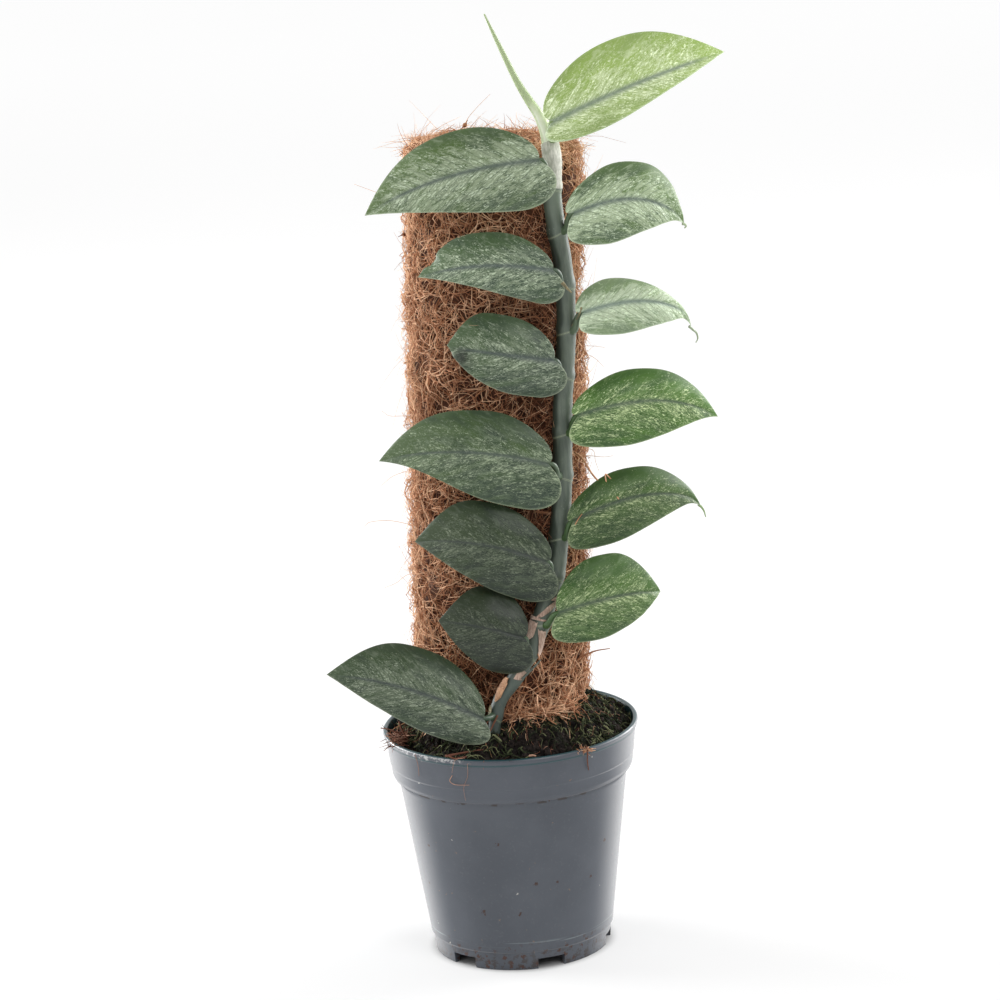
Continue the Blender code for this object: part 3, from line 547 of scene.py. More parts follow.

# %% [markdown]
# The plastic is slate grey with a soft sheen. Peat leaves brown specks on it, thickest at the foot, dirt
# and a painted shade darken the groove under the step, lime dries to a white crust at the left of the lip,
# and the lip's inner edge shows the darker, bluer plastic.

# %% Pot plastic


def pot_plastic():
    """Slate grey, clouded, with spots in random cells, and dirt, lime and a painted shade in the groove by
    their place.
    """
    made = Finish("pot_plastic")
    place = made.place()
    x, y, z = made.axes()
    clouds = made.noise(place, 22.0, 4.0, 0.6)
    fine = made.noise(place, 700.0, 3.0, 0.6)
    made.base(clouds.step(0.35, 0.7), (0.053, 0.061, 0.076), (0.070, 0.079, 0.096))
    made.coat(fine.step(0.56, 0.72, 0.0, 0.35), (0.098, 0.108, 0.120))
    scratch = made.noise(place, 1.0, 3.0, 0.6, stretch=(30.0, 30.0, 900.0))
    scuffed_band = z.step(0.0115, 0.0130) * z.step(0.0150, 0.0135)
    made.coat(scuffed_band * scratch.step(0.52, 0.66), (0.155, 0.185, 0.195))
    grime = made.noise(place, 330.0, 5.0, 0.7).step(0.50, 0.60)
    made.coat(z.step(0.0135, 0.002) * grime * 0.8, (0.034, 0.022, 0.018))
    # The groove under the step is darkened: part dirt, part painted shade
    near_groove = (z + -GROOVE_Z * MM).sum("ABSOLUTE")
    patchy_dirt_and_shade = made.noise(place, 150.0, 4.0, 0.6).step(0.50, 0.58)
    made.coat(near_groove.step(0.0012, 0.0004) * patchy_dirt_and_shade * 0.9, (0.026, 0.016, 0.013))
    shaken = made.node("TexNoise", {"Vector": place, "Scale": 900.0, "Detail": 2.0}, "Color")
    jagged = made.node("VectorMath", {0: shaken, 1: (0.003, 0.003, 0.003), 2: place},
                       operation="MULTIPLY_ADD")
    for scale, size, chosen, tint in ((330.0, 0.17, 0.08, (0.150, 0.105, 0.080)),
                                      (210.0, 0.13, 0.05, (0.34, 0.34, 0.32)),
                                      (120.0, 0.13, 0.26, (0.040, 0.016, 0.010))):
        made.coat(made.spots(jagged, scale, size, chosen), tint)
    made.coat(made.spots(jagged, 300.0, 0.36, 0.66) * z.step(0.016, 0.008), (0.052, 0.020, 0.013))
    front_left = x.step(-0.017, -0.028) * x.step(-0.058, -0.046) * y.step(-0.020, -0.036)
    lime = made.noise(place, 420.0, 5.0, 0.75) + z.step(0.1015, 0.1085, -0.16, 0.06)
    made.coat(lime.step(0.52, 0.62, 0.0, 0.75) * front_left, (0.46, 0.46, 0.45))
    inner_lip = made.from_axis().step(0.0597, 0.0594) * z.step(0.1050, 0.1056)
    made.coat(inner_lip, (0.006, 0.046, 0.054))
    roughness = clouds.step(0.3, 0.7, 0.34, 0.42) + fine.step(0.5, 0.8, 0.0, 0.12)
    facing = made.node("LayerWeight", {"Blend": 0.5}, "Facing")
    gloss = facing.step(0.40, 0.84) * near_groove.step(0.0010, 0.0022) * inner_lip.step(1.0, 0.0, 0.1, 1.0)
    return made.wear(roughness, made.bump(fine, 0.05, 0.0004), Specular_IOR_Level=0.5, Coat_Weight=gloss,
                     Coat_IOR=3.6, Coat_Roughness=0.22)


plastic = pot_plastic()
print(plastic.name, "has", len(plastic.node_tree.nodes), "nodes")

# %% Pot


def cut(target, cutters):
    """Cut shapes from an object with one exact Boolean each, and apply them."""
    others = []
    for shape in cutters:
        mesh = bpy.data.meshes.new("cutter")
        mesh.from_pydata((shape.points * MM).tolist(), [], np.concatenate(shape.faces).tolist())
        modifier = target.modifiers.new("cut", "BOOLEAN")
        modifier.operation, modifier.solver = "DIFFERENCE", "EXACT"
        modifier.object = placed("cutter", mesh)
        others.append(modifier.object)
    bpy.context.view_layer.update()
    graph = bpy.context.evaluated_depsgraph_get()
    target.data = bpy.data.meshes.new_from_object(target.evaluated_get(graph))
    target.modifiers.clear()
    for other in others:
        bpy.data.objects.remove(other, do_unlink=True)


def wedge(centre_deg, width_deg, near, far, low, high):
    """A block between two radii, two angles and two heights."""
    angle = np.radians(centre_deg) + np.radians(width_deg) * np.array([-0.5, 0.5])
    ring = np.array([(near, angle[0]), (far, angle[0]), (far, angle[1]), (near, angle[1])])
    flat = stack(ring[:, 0] * np.cos(ring[:, 1]), ring[:, 0] * np.sin(ring[:, 1]))
    points = np.concatenate([np.c_[flat, np.full(4, low)], np.c_[flat, np.full(4, high)]])
    faces = np.array([(0, 3, 2, 1), (4, 5, 6, 7), (0, 1, 5, 4), (1, 2, 6, 5), (2, 3, 7, 6), (3, 0, 4, 7)])
    return Shape(points, [faces])


pot = piece("pot_shell", spun(section, SEGMENTS), plastic, ("pot",), SHARP_DEG)
notch_angles = [FIRST_NOTCH_DEG + 360.0 / NOTCHES * index for index in range(NOTCHES)]
cut(pot, [wedge(angle, NOTCH_WIDTH_DEG, *NOTCH_RADII, -1.0, NOTCH_HEIGHT) for angle in notch_angles])
pot.data.shade_smooth()
pot.data.set_sharp_from_angle(angle=math.radians(SHARP_DEG))
print("pot has", len(pot.data.polygons), "faces")

# %% [markdown]
# ## Stem
# The stem leaves the peat in front of the pole and climbs its front, a little to the right. Its centre line
# is the same curve as in the solids. It is thickest at the joints, where the leaves leave it.

# %% Stem line
# The pole's middle at the soil line, how far the stem's centre stands from the pole's axis, the stem's
# way as (x, z), and the shoot's as (x, z, radius)
POLE_FOOT, POLE_LEAN, POLE_TOP_Z = np.array([-3.7, 8.0, 110.0]), math.radians(2.5), 381.5
STEM_STAND_OFF, STEM_TOP_Z = 46.4, 372.0
STEM_ROUTE = np.array([
    (-9.0, 98.0), (-8.0, 110.0), (-6.8, 121.5), (-3.4, 132.0), (3.6, 141.0), (10.0, 151.0),
    (15.2, 161.5), (20.2, 175.0), (24.6, 188.0), (27.2, 202.0), (29.8, 223.0), (31.4, 244.5),
    (32.8, 268.0), (36.0, 297.0), (36.8, 317.5), (36.0, 333.0), (33.6, 354.0), (33.2, 368.0),
])
SHOOT_ROUTE = np.array([
    (33.9, 377.0, 4.2), (33.6, 385.0, 3.9), (32.0, 392.0, 3.0), (29.3, 399.0, 2.4), (25.2, 406.0, 2.0),
    (20.3, 415.0, 1.5), (14.8, 428.0, 1.15), (11.1, 437.0, 0.8), (7.7, 445.5, 0.35),
])


def pole_axis_x(z):
    """The leaning pole's axis, at a height."""
    return POLE_FOOT[0] + (z - POLE_FOOT[2]) * math.tan(POLE_LEAN)


across = STEM_ROUTE[:, 0] - pole_axis_x(STEM_ROUTE[:, 1])
climbing_y = POLE_FOOT[1] - np.sqrt(STEM_STAND_OFF ** 2 - across ** 2)
climbing = stack(STEM_ROUTE[:, 0], climbing_y, STEM_ROUTE[:, 1])
free_y = np.full(len(SHOOT_ROUTE), climbing_y[-1] - 1.5)
free = stack(SHOOT_ROUTE[:, 0], free_y, SHOOT_ROUTE[:, 1])
stem_line = curve_through(np.concatenate([climbing, free]), 600)
stem_ahead = unit(np.gradient(stem_line, axis=0))


def stem_at(z):
    """The stem's centre and direction at each height."""
    centre, ahead = (stack(*(np.interp(z, stem_line[:, 2], track[:, axis]) for axis in range(3)))
                     for track in (stem_line, stem_ahead))
    return centre, unit(ahead)


def stem_axes(z):
    """The stem's centre and direction at each height, with the directions to its right and front."""
    centre, ahead = stem_at(z)
    right = unit(np.cross(ahead, [0.0, -1.0, 0.0]))
    return centre, ahead, right, np.cross(right, ahead)


print("stem line is", round(float(np.linalg.norm(np.diff(stem_line, axis=0), axis=1).sum())), "mm long")

# %% [markdown]
# ## Leaves
# Each leaf is drawn by what a ruler and a protractor would read off it: the place of its notch, its length,
# its pitch, and how wide each half is and where. These are the numbers that the solids use as well.
# The last ones choose its finish, how rich it is in silver flecks and in pale quilted patches, how wide
# its midrib is, how light the leaf is drawn, which is partly its own paleness and partly painted light and
# shade, and the thin dry tail, the bite or the dark spot that a few have near their tips.

# %% Leaf table


@dataclass
class Leaf:
    """One leaf. Angles are in degrees, and the stations are shares of the length."""

    name: str
    side: int
    notch_x: float
    notch_z: float
    length: float
    pitch: float
    bow: float
    upper: float
    upper_at: float
    lower: float
    lower_at: float
    upper_lobe: float = 1.5
    lower_lobe: float = 6.0
    upper_back: float = 7.0
    lower_back: float = 3.0
    upper_fullness: float = 2.0
    lower_fullness: float = 2.0
    upper_drip: float = 2.0
    lower_drip: float = 2.0
    hook: float = 0.0
    arch: float = 5.0
    swing: float = 8.0
    tilt: float = 0.0
    forward: float = 12.0
    drop: float = 9.0
    look: str = "dark"
    flecks: float = 0.5
    quilt: float = 0.3
    rib: float = 1.0
    # Scales the leaf's colour: partly its own paleness, partly painted light and shade for how much light
    # the leaf gets
    bright: float = 1.0
    seed: int = 0
    tail: tuple = ()
    bite: tuple = ()
    dark_spot: tuple = ()


LEFT, RIGHT = -1, 1
LEAVES = (
    Leaf("leaf_left_1", LEFT, 27.8, 381.0, 84.0, -16.0, 6.0, 18.2, 0.36, 22.5, 0.17, lower_lobe=8.0,
         upper_lobe=3.0, upper_fullness=2.5, lower_fullness=1.4, arch=8.0, swing=12.0, drop=14.0,
         look="silvery", flecks=0.60, quilt=1.1, rib=1.2, bright=0.99, seed=1),
    Leaf("leaf_left_2", LEFT, 31.3, 330.5, 61.5, -1.5, 5.0, 14.0, 0.44, 17.0, 0.12, lower_lobe=7.0,
         upper_fullness=3.2, lower_fullness=1.25, arch=7.0, swing=10.0, forward=14.0, look="grey",
         flecks=0.55, quilt=0.5, rib=1.2, bright=1.08, seed=2, bite=(-6.2, 8.6, 2.6)),
    Leaf("leaf_left_3", LEFT, 29.8, 289.0, 49.0, 10.5, 1.0, 16.7, 0.54, 18.5, 0.12, lower_lobe=9.5,
         upper_lobe=0.5, upper_fullness=3.6, lower_fullness=2.8, upper_drip=0.5, lower_drip=0.5, arch=6.0,
         swing=2.0, forward=13.0, look="grey", flecks=0.5, quilt=0.45, rib=1.3, bright=0.88, seed=3,
         bite=(1.0, -2.8, 1.9), dark_spot=(-7.5, -3.8, 4.0)),
    Leaf("leaf_left_4", LEFT, 24.2, 242.5, 79.0, 1.0, 7.0, 18.0, 0.34, 24.4, 0.16, lower_lobe=9.0,
         upper_lobe=4.5, upper_fullness=3.2, lower_fullness=2.0, lower_drip=15.0, lower_back=2.0,
         arch=8.0, swing=14.0, forward=16.0, look="dark", flecks=0.48, quilt=0.30, rib=0.9, bright=0.86,
         seed=4),
    Leaf("leaf_left_5", LEFT, 21.0, 196.5, 61.5, 9.5, 5.5, 18.4, 0.50, 22.4, 0.17, lower_lobe=10.0,
         upper_lobe=4.5, upper_fullness=3.0, lower_fullness=1.8, lower_back=2.0, arch=7.0, swing=11.0,
         forward=12.0, look="dark", flecks=0.48, quilt=0.40, rib=0.9, bright=0.43, seed=5),
    Leaf("leaf_left_6", LEFT, 8.8, 162.0, 40.0, 13.5, 2.0, 16.7, 0.46, 20.5, 0.22, lower_lobe=8.5,
         upper_lobe=2.5, upper_fullness=2.9, lower_fullness=1.9, upper_back=10.0, upper_drip=1.0,
         lower_drip=1.0, swing=6.0, arch=3.5, forward=9.5, look="dark", flecks=0.44, quilt=0.5, rib=0.8,
         bright=0.27, seed=6),
    Leaf("leaf_left_7", LEFT, -12.3, 125.5, 74.6, 17.6, 5.0, 18.4, 0.48, 17.6, 0.26, lower_lobe=9.0,
         upper_fullness=3.0, lower_fullness=1.8, upper_back=9.0, tilt=8.0, arch=6.0, swing=8.0,
         forward=9.0, drop=1.5, look="grey", flecks=0.5, quilt=0.85, rib=1.1, bright=0.64, seed=7),
    Leaf("leaf_right_1", RIGHT, 35.2, 397.0, 86.6, 15.0, 3.6, 21.2, 0.42, 13.9, 0.24, lower_lobe=9.0,
         upper_lobe=6.5, upper_fullness=2.2, lower_fullness=1.45, arch=7.0, swing=19.0, forward=7.0,
         look="young", flecks=0.66, quilt=0.6, rib=1.5, bright=1.22, seed=8),
    Leaf("leaf_right_2", RIGHT, 42.5, 355.4, 54.4, -10.8, 9.0, 16.0, 0.42, 20.2, 0.32, lower_lobe=5.0,
         upper_lobe=8.0, upper_fullness=4.6, lower_fullness=1.5, upper_drip=3.0, lower_drip=4.0, hook=1.5,
         arch=6.0, swing=21.0, forward=9.0, look="silvery", flecks=0.58, quilt=1.3, rib=1.3, bright=1.38,
         seed=9, tail=((-1.0, 0.3), (0.4, -0.1), (0.9, -0.9), (0.2, -1.7))),
    Leaf("leaf_right_3", RIGHT, 44.4, 309.3, 57.4, -11.4, 7.5, 10.6, 0.18, 15.2, 0.32, lower_lobe=4.0,
         upper_lobe=7.0, upper_fullness=1.6, lower_fullness=1.7, upper_drip=4.0, lower_drip=5.0, hook=4.5,
         arch=6.0, swing=27.0, forward=9.0, look="frosted", flecks=0.50, quilt=1.4, rib=1.2, bright=1.84,
         seed=10, tail=((-1.6, 0.9), (0.4, -0.4), (2.4, -1.6), (3.6, -3.4), (3.7, -5.0), (3.0, -6.4))),
    Leaf("leaf_right_4", RIGHT, 39.6, 262.5, 68.8, -8.4, 8.5, 13.7, 0.38, 20.6, 0.32, lower_lobe=7.5,
         upper_lobe=7.0, upper_fullness=2.9, lower_fullness=1.8, lower_drip=7.0, arch=7.0, swing=20.0,
         forward=9.0, look="green", flecks=0.54, quilt=0.4, rib=1.1, bright=1.22, seed=11),
    Leaf("leaf_right_5", RIGHT, 34.9, 214.2, 65.4, -1.4, 8.3, 12.2, 0.42, 19.8, 0.27, lower_lobe=7.0,
         upper_lobe=7.0, upper_fullness=2.8, lower_fullness=1.7, lower_drip=7.0, hook=3.0, arch=6.0,
         swing=25.0, forward=9.0, look="green", flecks=0.42, quilt=0.2, rib=1.0, bright=0.74, seed=12,
         tail=((-1.4, 1.2), (0.2, -0.3), (1.4, -2.4), (2.2, -5.2))),
    Leaf("leaf_right_6", RIGHT, 25.4, 172.5, 50.7, 2.4, 4.0, 18.9, 0.45, 19.2, 0.33, lower_lobe=8.0,
         upper_lobe=3.0, upper_fullness=3.0, lower_fullness=2.1, upper_drip=1.5, lower_drip=1.5, arch=6.0,
         swing=21.0, forward=10.0, drop=6.5, look="green", flecks=0.6, quilt=0.7, rib=1.1, bright=0.93,
         seed=13),
)
JOINTS = np.array([leaf.notch_z - leaf.drop for leaf in LEAVES])
print(len(LEAVES), "leaves, from", min(leaf.length for leaf in LEAVES), "to",
      max(leaf.length for leaf in LEAVES), "mm long")

# %% [markdown]
# A side vein leaves the midrib at about 40 degrees and bends forward. Flecks lie along these veins, so the
# finish needs to know, at each point, which vein passes there. That is the first number of the pattern:
# the place on the midrib where the point's vein starts. The second is the distance from the midrib.

# %% Leaf outline
# At which t the edge turns from the lobe to the front, how soon it leaves the notch, and how its rows
# fan out along the midrib
TURN, NOTCH_OPENING, RIB_SPREAD = 0.42, 0.22, 1.45


def by_half(leaf, upper, *names):
    """For each point, the leaf's numbers for the half that it lies in."""
    return [np.where(upper, getattr(leaf, "upper" + name), getattr(leaf, "lower" + name)) for name in names]


def leaf_edge(leaf, t, upper):
    """A half's edge from the notch to the tip: a quarter of an ellipse up to its widest place, drawn
    forward to the notch, and then a parabola that is drawn out into the drip tip."""
    width, place, lobe, fullness, drip = by_half(leaf, upper, "", "_at", "_lobe", "_fullness", "_drip")
    widest = leaf.length * place
    turn = 0.5 * math.pi * np.minimum(t / TURN, 1.0)
    reach = widest + lobe * (1.0 - np.exp(-turn / NOTCH_OPENING))
    front = np.clip((t - TURN) / (1.0 - TURN), 0.0, 1.0)
    along_front = widest + (leaf.length - drip - widest) * front + drip * front ** 8
    behind = t < TURN
    along = np.where(behind, widest - reach * np.cos(turn), along_front)
    return along, np.where(behind, width * np.sin(turn), width * (1.0 - front ** fullness))


def leaf_axes(leaf):
    """The notch, and the directions along the chord, up across the blade and out of it."""
    pitch, swing, tilt = (math.radians(angle) for angle in (leaf.pitch, leaf.swing, leaf.tilt))
    level = np.array([leaf.side * math.cos(swing), math.sin(swing), 0.0])
    along = level * math.cos(pitch) + UP * math.sin(pitch)
    up = UP * math.cos(pitch) - level * math.sin(pitch)
    out = leaf.side * np.cross(along, up)
    centre, _ = stem_at(leaf.notch_z)
    notch = np.array([leaf.notch_x, centre[1] - leaf.forward, leaf.notch_z])
    return (notch, along, up * math.cos(tilt) - out * math.sin(tilt),
            out * math.cos(tilt) + up * math.sin(tilt))


print("the first leaf's notch is at", leaf_axes(LEAVES[0])[0].round(1))

# %% Leaf blade
BLADE_THICKNESS, EDGE_WAVE, ALONG_ROWS, HALF_COLUMNS = 0.9, 0.6, 64, 16


def blade_grid(leaf):
    """Where each point of a blade lies. t runs from the notch to the tip, and s from the lower edge to
    the upper one. Along and across are millimetres, share is along's part of the length, and off is
    across's part of the half's width. Vein is where on the midrib the point's side vein starts."""
    t = 0.5 - 0.5 * np.cos(math.pi * np.linspace(0.0, 1.0, ALONG_ROWS))
    half = 0.5 - 0.5 * np.cos(math.pi * np.linspace(0.0, 1.0, HALF_COLUMNS + 1))
    t, s = np.meshgrid(t, np.concatenate([-half[::-1], half[1:]]), indexing="ij")
    out, upper = np.abs(s), s > 0
    edge_along, edge_across = leaf_edge(leaf, t, upper)
    root = leaf.length * t ** RIB_SPREAD
    along = root + out * (edge_along - root)
    across = np.sign(s) * out * edge_across
    width, back_fall = by_half(leaf, upper, "", "_back")
    distance, slope = np.abs(across), np.where(upper, 1.0, 1.5)
    vein = along - slope * distance - 0.35 * distance ** 2 / width
    share = along / leaf.length
    return SimpleNamespace(
        t=t, s=s, out=out, upper=upper, edge_across=edge_across, along=along, across=across, width=width,
        back_fall=back_fall, distance=distance, slope=slope, vein=vein, share=share,
        inside=np.clip(share, 0.0, 1.0), off=distance / width)


def blade_height(leaf, at):
    """How far each point stands out of the blade's plane: the arch along it and the crown across it,
    the wave of its edge, the pillows between side veins, and the groove over the midrib."""
    crown = 0.2 * at.width * at.off - (at.back_fall + 0.2 * at.width) * at.off ** 2
    wave = EDGE_WAVE * at.off ** 2 * np.sin(math.tau * 2.2 * at.share + np.where(at.upper, 1.0, 2.6))
    swell = noise(stack(at.vein / 5.5, at.across / 16.0, np.full_like(at.vein, 3.7 * leaf.seed)), leaf.seed)
    pillow = (0.12 + 0.40 * leaf.quilt) * swell * np.clip(at.distance / 2.0, 0.0, 1.0) * (1.0 - at.off ** 3)
    groove = 0.45 * np.exp(-(at.distance / (0.9 * leaf.rib)) ** 2) * (1.0 - at.inside) ** 0.5
    return 4.0 * leaf.arch * at.inside * (1.0 - at.inside) + crown + wave + pillow - groove


def blade_tones(leaf, at):
    """What the finish reads at each point, among them a painted shade along the upper margin. A dark spot
    darkens the blade in a bell round it.
    """
    flecks = np.where(at.upper, 0.43, 0.54) - 0.5 * smoothstep(0.72, 1.0, at.share)
    flecks += (0.28 * smoothstep(0.50, 0.1, at.off)
               - np.where(at.upper, 0.50, 0.40) * smoothstep(0.45, 1.0, at.off))
    rib_width = leaf.rib * (1.25 - 0.8 * at.inside)
    edge = smoothstep(0.75, 0.15, (1.0 - at.out) * np.maximum(at.edge_across, 0.5))
    bright = np.full_like(at.s, leaf.bright)
    if leaf.dark_spot:
        dark_spot_along, dark_spot_across, radius = leaf.dark_spot
        away = np.hypot(at.along - leaf.length - dark_spot_along, at.across - dark_spot_across) / radius
        bright = bright * (1.0 - 0.85 * np.exp(-away ** 2))
    return {"flecks": flecks + 0.6 * (leaf.flecks - 0.5),
            "pale": leaf.quilt * smoothstep(0.85, 0.25, at.off) * smoothstep(0.98, 0.5, at.share),
            "midrib": np.exp(-(at.distance / rib_width) ** 2) * smoothstep(1.0, 0.72, at.share),
            "margin": np.maximum(edge * np.where(at.upper, 0.12, 1.0), smoothstep(0.985, 1.0, at.t)),
            "upper": smoothstep(-0.2, 0.2, at.s), "tip": at.share,
            "shade": smoothstep(0.55, 1.0, at.off) * at.upper, "bright": bright}


def bite_push(leaf, along, lift):
    """How far a bite pushes each point along and up, straight away from the middle of the bite."""
    bite_along, bite_up, radius = leaf.bite
    aside = stack(along - leaf.length - bite_along, lift - bite_up)
    push = np.maximum(0.0, 1.0 - np.linalg.norm(aside, axis=-1) / (2.4 * radius)) * radius
    return unit(aside) * push[..., None]


def both(front, back):
    """The front's points and then the back's in turned order, which makes a ring of each row."""
    return np.concatenate([front, back[:, ::-1]], axis=1)


print("a face of a blade has", ALONG_ROWS * (2 * HALF_COLUMNS + 1), "points")

# %% Leaf rings


def blade(leaf):
    """Both faces of a blade as one closed ring at each station: over the front and back behind it. The
    midrib stands out of the back."""
    notch, along_way, up_way, out_way = leaf_axes(leaf)
    at = blade_grid(leaf)
    hooked = np.maximum(0.0, (at.share - 0.85) / 0.15)
    lift = 4.0 * leaf.bow * at.share * (1.0 - at.share) - leaf.hook * hooked ** 2 + at.across
    height = blade_height(leaf, at)
    thick = BLADE_THICKNESS * (1.0 - 0.72 * at.out ** 8) * np.minimum(1.0, 14.0 * at.t * (1.0 - at.t))
    rib = np.exp(-(at.distance / 1.2) ** 2) * (1.0 - at.inside) ** 0.7 * np.minimum(1.0, 14.0 * at.t)
    middle = notch + at.along[..., None] * along_way + lift[..., None] * up_way
    if leaf.bite:
        push = bite_push(leaf, at.along, lift)
        middle = middle + push[..., :1] * along_way + push[..., 1:] * up_way
    ring = both(middle + (height + thick / 2)[..., None] * out_way,
                middle + (height - thick / 2 - rib)[..., None] * out_way)
    values = {name: both(value, value).reshape(-1) for name, value in blade_tones(leaf, at).items()}
    values["behind"] = both(np.zeros_like(at.s), np.ones_like(at.s)).reshape(-1)
    run = at.across * np.sqrt(1.0 + at.slope ** 2)
    uv = stack(both(at.vein, at.vein).reshape(-1) / 10.0 + 7.3 * leaf.seed,
               both(run, run).reshape(-1) / 10.0)
    return Shape(ring.reshape(-1, 3), [grid_faces(*ring.shape[:2], close_columns=True)], values, uv)


def tail(leaf):
    """The dry, curled end of a drip tip: a thin tube through points measured from the tip."""
    notch, along_way, up_way, _ = leaf_axes(leaf)
    blade_points = blade(leaf).points
    tip = blade_points[np.argmax((blade_points - notch).dot(along_way))]
    offset = np.array(leaf.tail)
    points = tip + offset[:, :1] * along_way + offset[:, 1:] * up_way
    shape = single_strand(points, 0.75, 0.25)
    ones = np.ones(len(shape.points))
    values = {"tip": ones, "margin": ones, "behind": ones, "bright": 1.3 * ones}
    return Shape(shape.points, shape.faces, values)


print("a blade has", len(blade(LEAVES[0]).points), "points")

# %% [markdown]
# A stalk leaves its joint straight out of the stem, rounds up to the notch and runs into the midrib on the
# back of the blade. A Bezier curve with handles along those two directions gives the same bend.

# %% Leaf stalk
STEM_RADIUS, TIP_TAPER, TIP_TAPER_Z = 4.5, 0.3, 250.0
FOOT_TAPER, STEM_FOOT_Z, STEM_FULL_Z = 1.6, 122.0, 166.0
NODE_SWELL, NODE_HALF_HEIGHT = 0.45, 2.2


def stem_radius(z):
    """Thin at the foot, even above it, a little thinner at the tip, with a low bell-shaped swelling at
    each joint. Above the stem's end it is the shoot's radius."""
    z = np.asarray(z, dtype=float)
    radius = STEM_RADIUS - TIP_TAPER * np.clip((z - TIP_TAPER_Z) / (STEM_TOP_Z - TIP_TAPER_Z), 0.0, 1.0)
    radius = radius - FOOT_TAPER * np.clip((STEM_FULL_Z - z) / (STEM_FULL_Z - STEM_FOOT_Z), 0.0, 1.0)
    swelling = NODE_SWELL * np.exp(-((z[..., None] - JOINTS) / NODE_HALF_HEIGHT) ** 2).sum(axis=-1)
    stations = np.concatenate([[STEM_TOP_Z], SHOOT_ROUTE[:, 1]])
    shoot = np.interp(z, stations, np.concatenate([[4.2], SHOOT_ROUTE[:, 2]]))
    return np.where(z > STEM_TOP_Z, shoot, radius + swelling)


def stalk(leaf):
    """A tube along the Bezier curve from inside the stem to the blade, thinner towards the blade."""
    notch, along_way, _, out_way = leaf_axes(leaf)
    centre, ahead = stem_at(leaf.notch_z - leaf.drop)
    outward = notch - centre
    outward = unit(outward - ahead * outward.dot(ahead))
    foot = centre + outward * (stem_radius(leaf.notch_z - leaf.drop) - 1.2)
    arrival = unit(along_way + 0.9 * out_way)
    handle = 0.42 * np.linalg.norm(notch - foot)
    start = notch + 1.0 * along_way - 0.5 * out_way
    controls = np.stack([start, notch - handle * arrival, foot + handle * outward, foot])
    t = np.linspace(0.0, 1.0, 18)[:, None]
    path = ((1 - t) ** 3 * controls[0] + 3 * t * (1 - t) ** 2 * controls[1]
            + 3 * t ** 2 * (1 - t) * controls[2] + t ** 3 * controls[3])
    radius = np.interp(t[:, 0], [0.0, 0.08, 0.7, 1.0], [0.4, 1.05, 1.55, 2.2])
    return tubes(path[None], radius, 12, out_way, {"stalk": 0.1 + 0.9 * t[:, 0], "bright": 1.0})


print("stalk points:", len(stalk(LEAVES[0]).points))

# %% [markdown]
# The leaf's finish is laid in coats: deep and fresh green in soft clouds, pale quilted patches near the
# midrib with darker side veins between them, fine silver flecks along the veins, a painted shade along the
# upper margin, the grey midrib, and the thin pale margin of the lower half. The flecks also lift the surface
# a little, which breaks up the sheen.
# Last, each leaf's colour is scaled, partly for its own paleness and partly as painted light and shade.

# %% Leaf finish


def leaf_finish(name, deep, fresh, patch, fleck, rib, margin, cover):
    """Green clouds, quilted patches, side veins, flecks, a painted shade along the upper margin, midrib and
    margin, in that order, then each leaf's scale of colour, partly painted light. cover is how much of what
    lies below a fleck hides."""
    made = Finish(name)
    pattern = made.node("UVMap", {}, uv_map="pattern")
    clouds = made.noise(pattern, 0.9, 2.0)
    tone = made.stored("upper") * 0.16 + clouds + made.stored("tip") * 0.30
    made.base(tone.step(0.45, 0.95), deep, fresh)
    network = made.noise(pattern, 1.0, 5.0, 0.66, 0.9, stretch=(1.9, 2.1, 1.0))
    made.coat((network + made.stored("pale") * 0.13).step(0.52, 0.68, 0.0, 0.80), patch)
    grain = made.noise(pattern, 1.0, 3.0, 0.65, 0.9, stretch=(7.5, 8.5, 1.0), shift=(2.2, 5.1, 0.0))
    made.coat((grain + made.stored("flecks") * 0.16).step(0.57, 0.72, 0.0, 0.60), patch)
    bands = made.node("TexWave", {"Vector": pattern, "Scale": 0.80, "Distortion": 3.4, "Detail": 2.0,
                                  "Detail Scale": 1.6}, "Fac")
    side_vein = bands.step(0.14, 0.01) * made.stored("pale").step(0.12, 0.6)
    streaks = made.noise(pattern, 1.0, 3.0, 0.6, 0.8, stretch=(7.0, 7.5, 1.0))
    fine = made.noise(pattern, 1.0, 1.5, 0.5, 0.4, stretch=(16.0, 17.0, 1.0))
    drift = made.noise(pattern, 1.0, 2.0, stretch=(1.9, 1.2, 1.0), shift=(4.1, 1.7, 0.0))
    where = made.stored("flecks") * 0.18 + drift * 0.36
    dots = (fine + where).step(0.870, 0.930, 0.0, 0.9)
    strength = made.noise(pattern, 1.0, 1.0, stretch=(7.0, 4.0, 1.0), shift=(1.3, 8.2, 0.0))
    strength = strength.step(0.38, 0.62, 0.25 * cover, cover) * side_vein.step(1.0, 0.0, 0.35, 1.0)
    flecked = (streaks + where).step(0.850, 0.905).sum("MAXIMUM", dots) * strength
    made.coat(side_vein * 0.4, deep)
    made.coat(flecked, fleck)
    # The shade value is a painted shade along the upper margin
    for value, share, tint in (("shade", 0.35, deep), ("midrib", 0.82, rib), ("margin", 0.5, margin),
                               ("behind", 0.5, patch)):
        made.coat(made.stored(value) * share, tint)
    made.coat(made.stored("stalk").step(0.0, 0.04), made.blend(clouds.step(0.3, 0.7), rib, fresh))
    # Each leaf's colour is scaled by its own paleness together with painted light and shade
    made.colour = made.node("VectorMath", {0: made.colour, "Scale": made.stored("bright")},
                            operation="SCALE")
    skin = made.noise(pattern, 1.0, 2.0, stretch=(60.0, 60.0, 1.0))
    normal = made.bump(flecked * 0.5 + network * 1.3 + skin * 0.15, 0.22, 0.0009)
    return made.wear(network.step(0.3, 0.7, 0.38, 0.48), normal, Specular_IOR_Level=0.42)


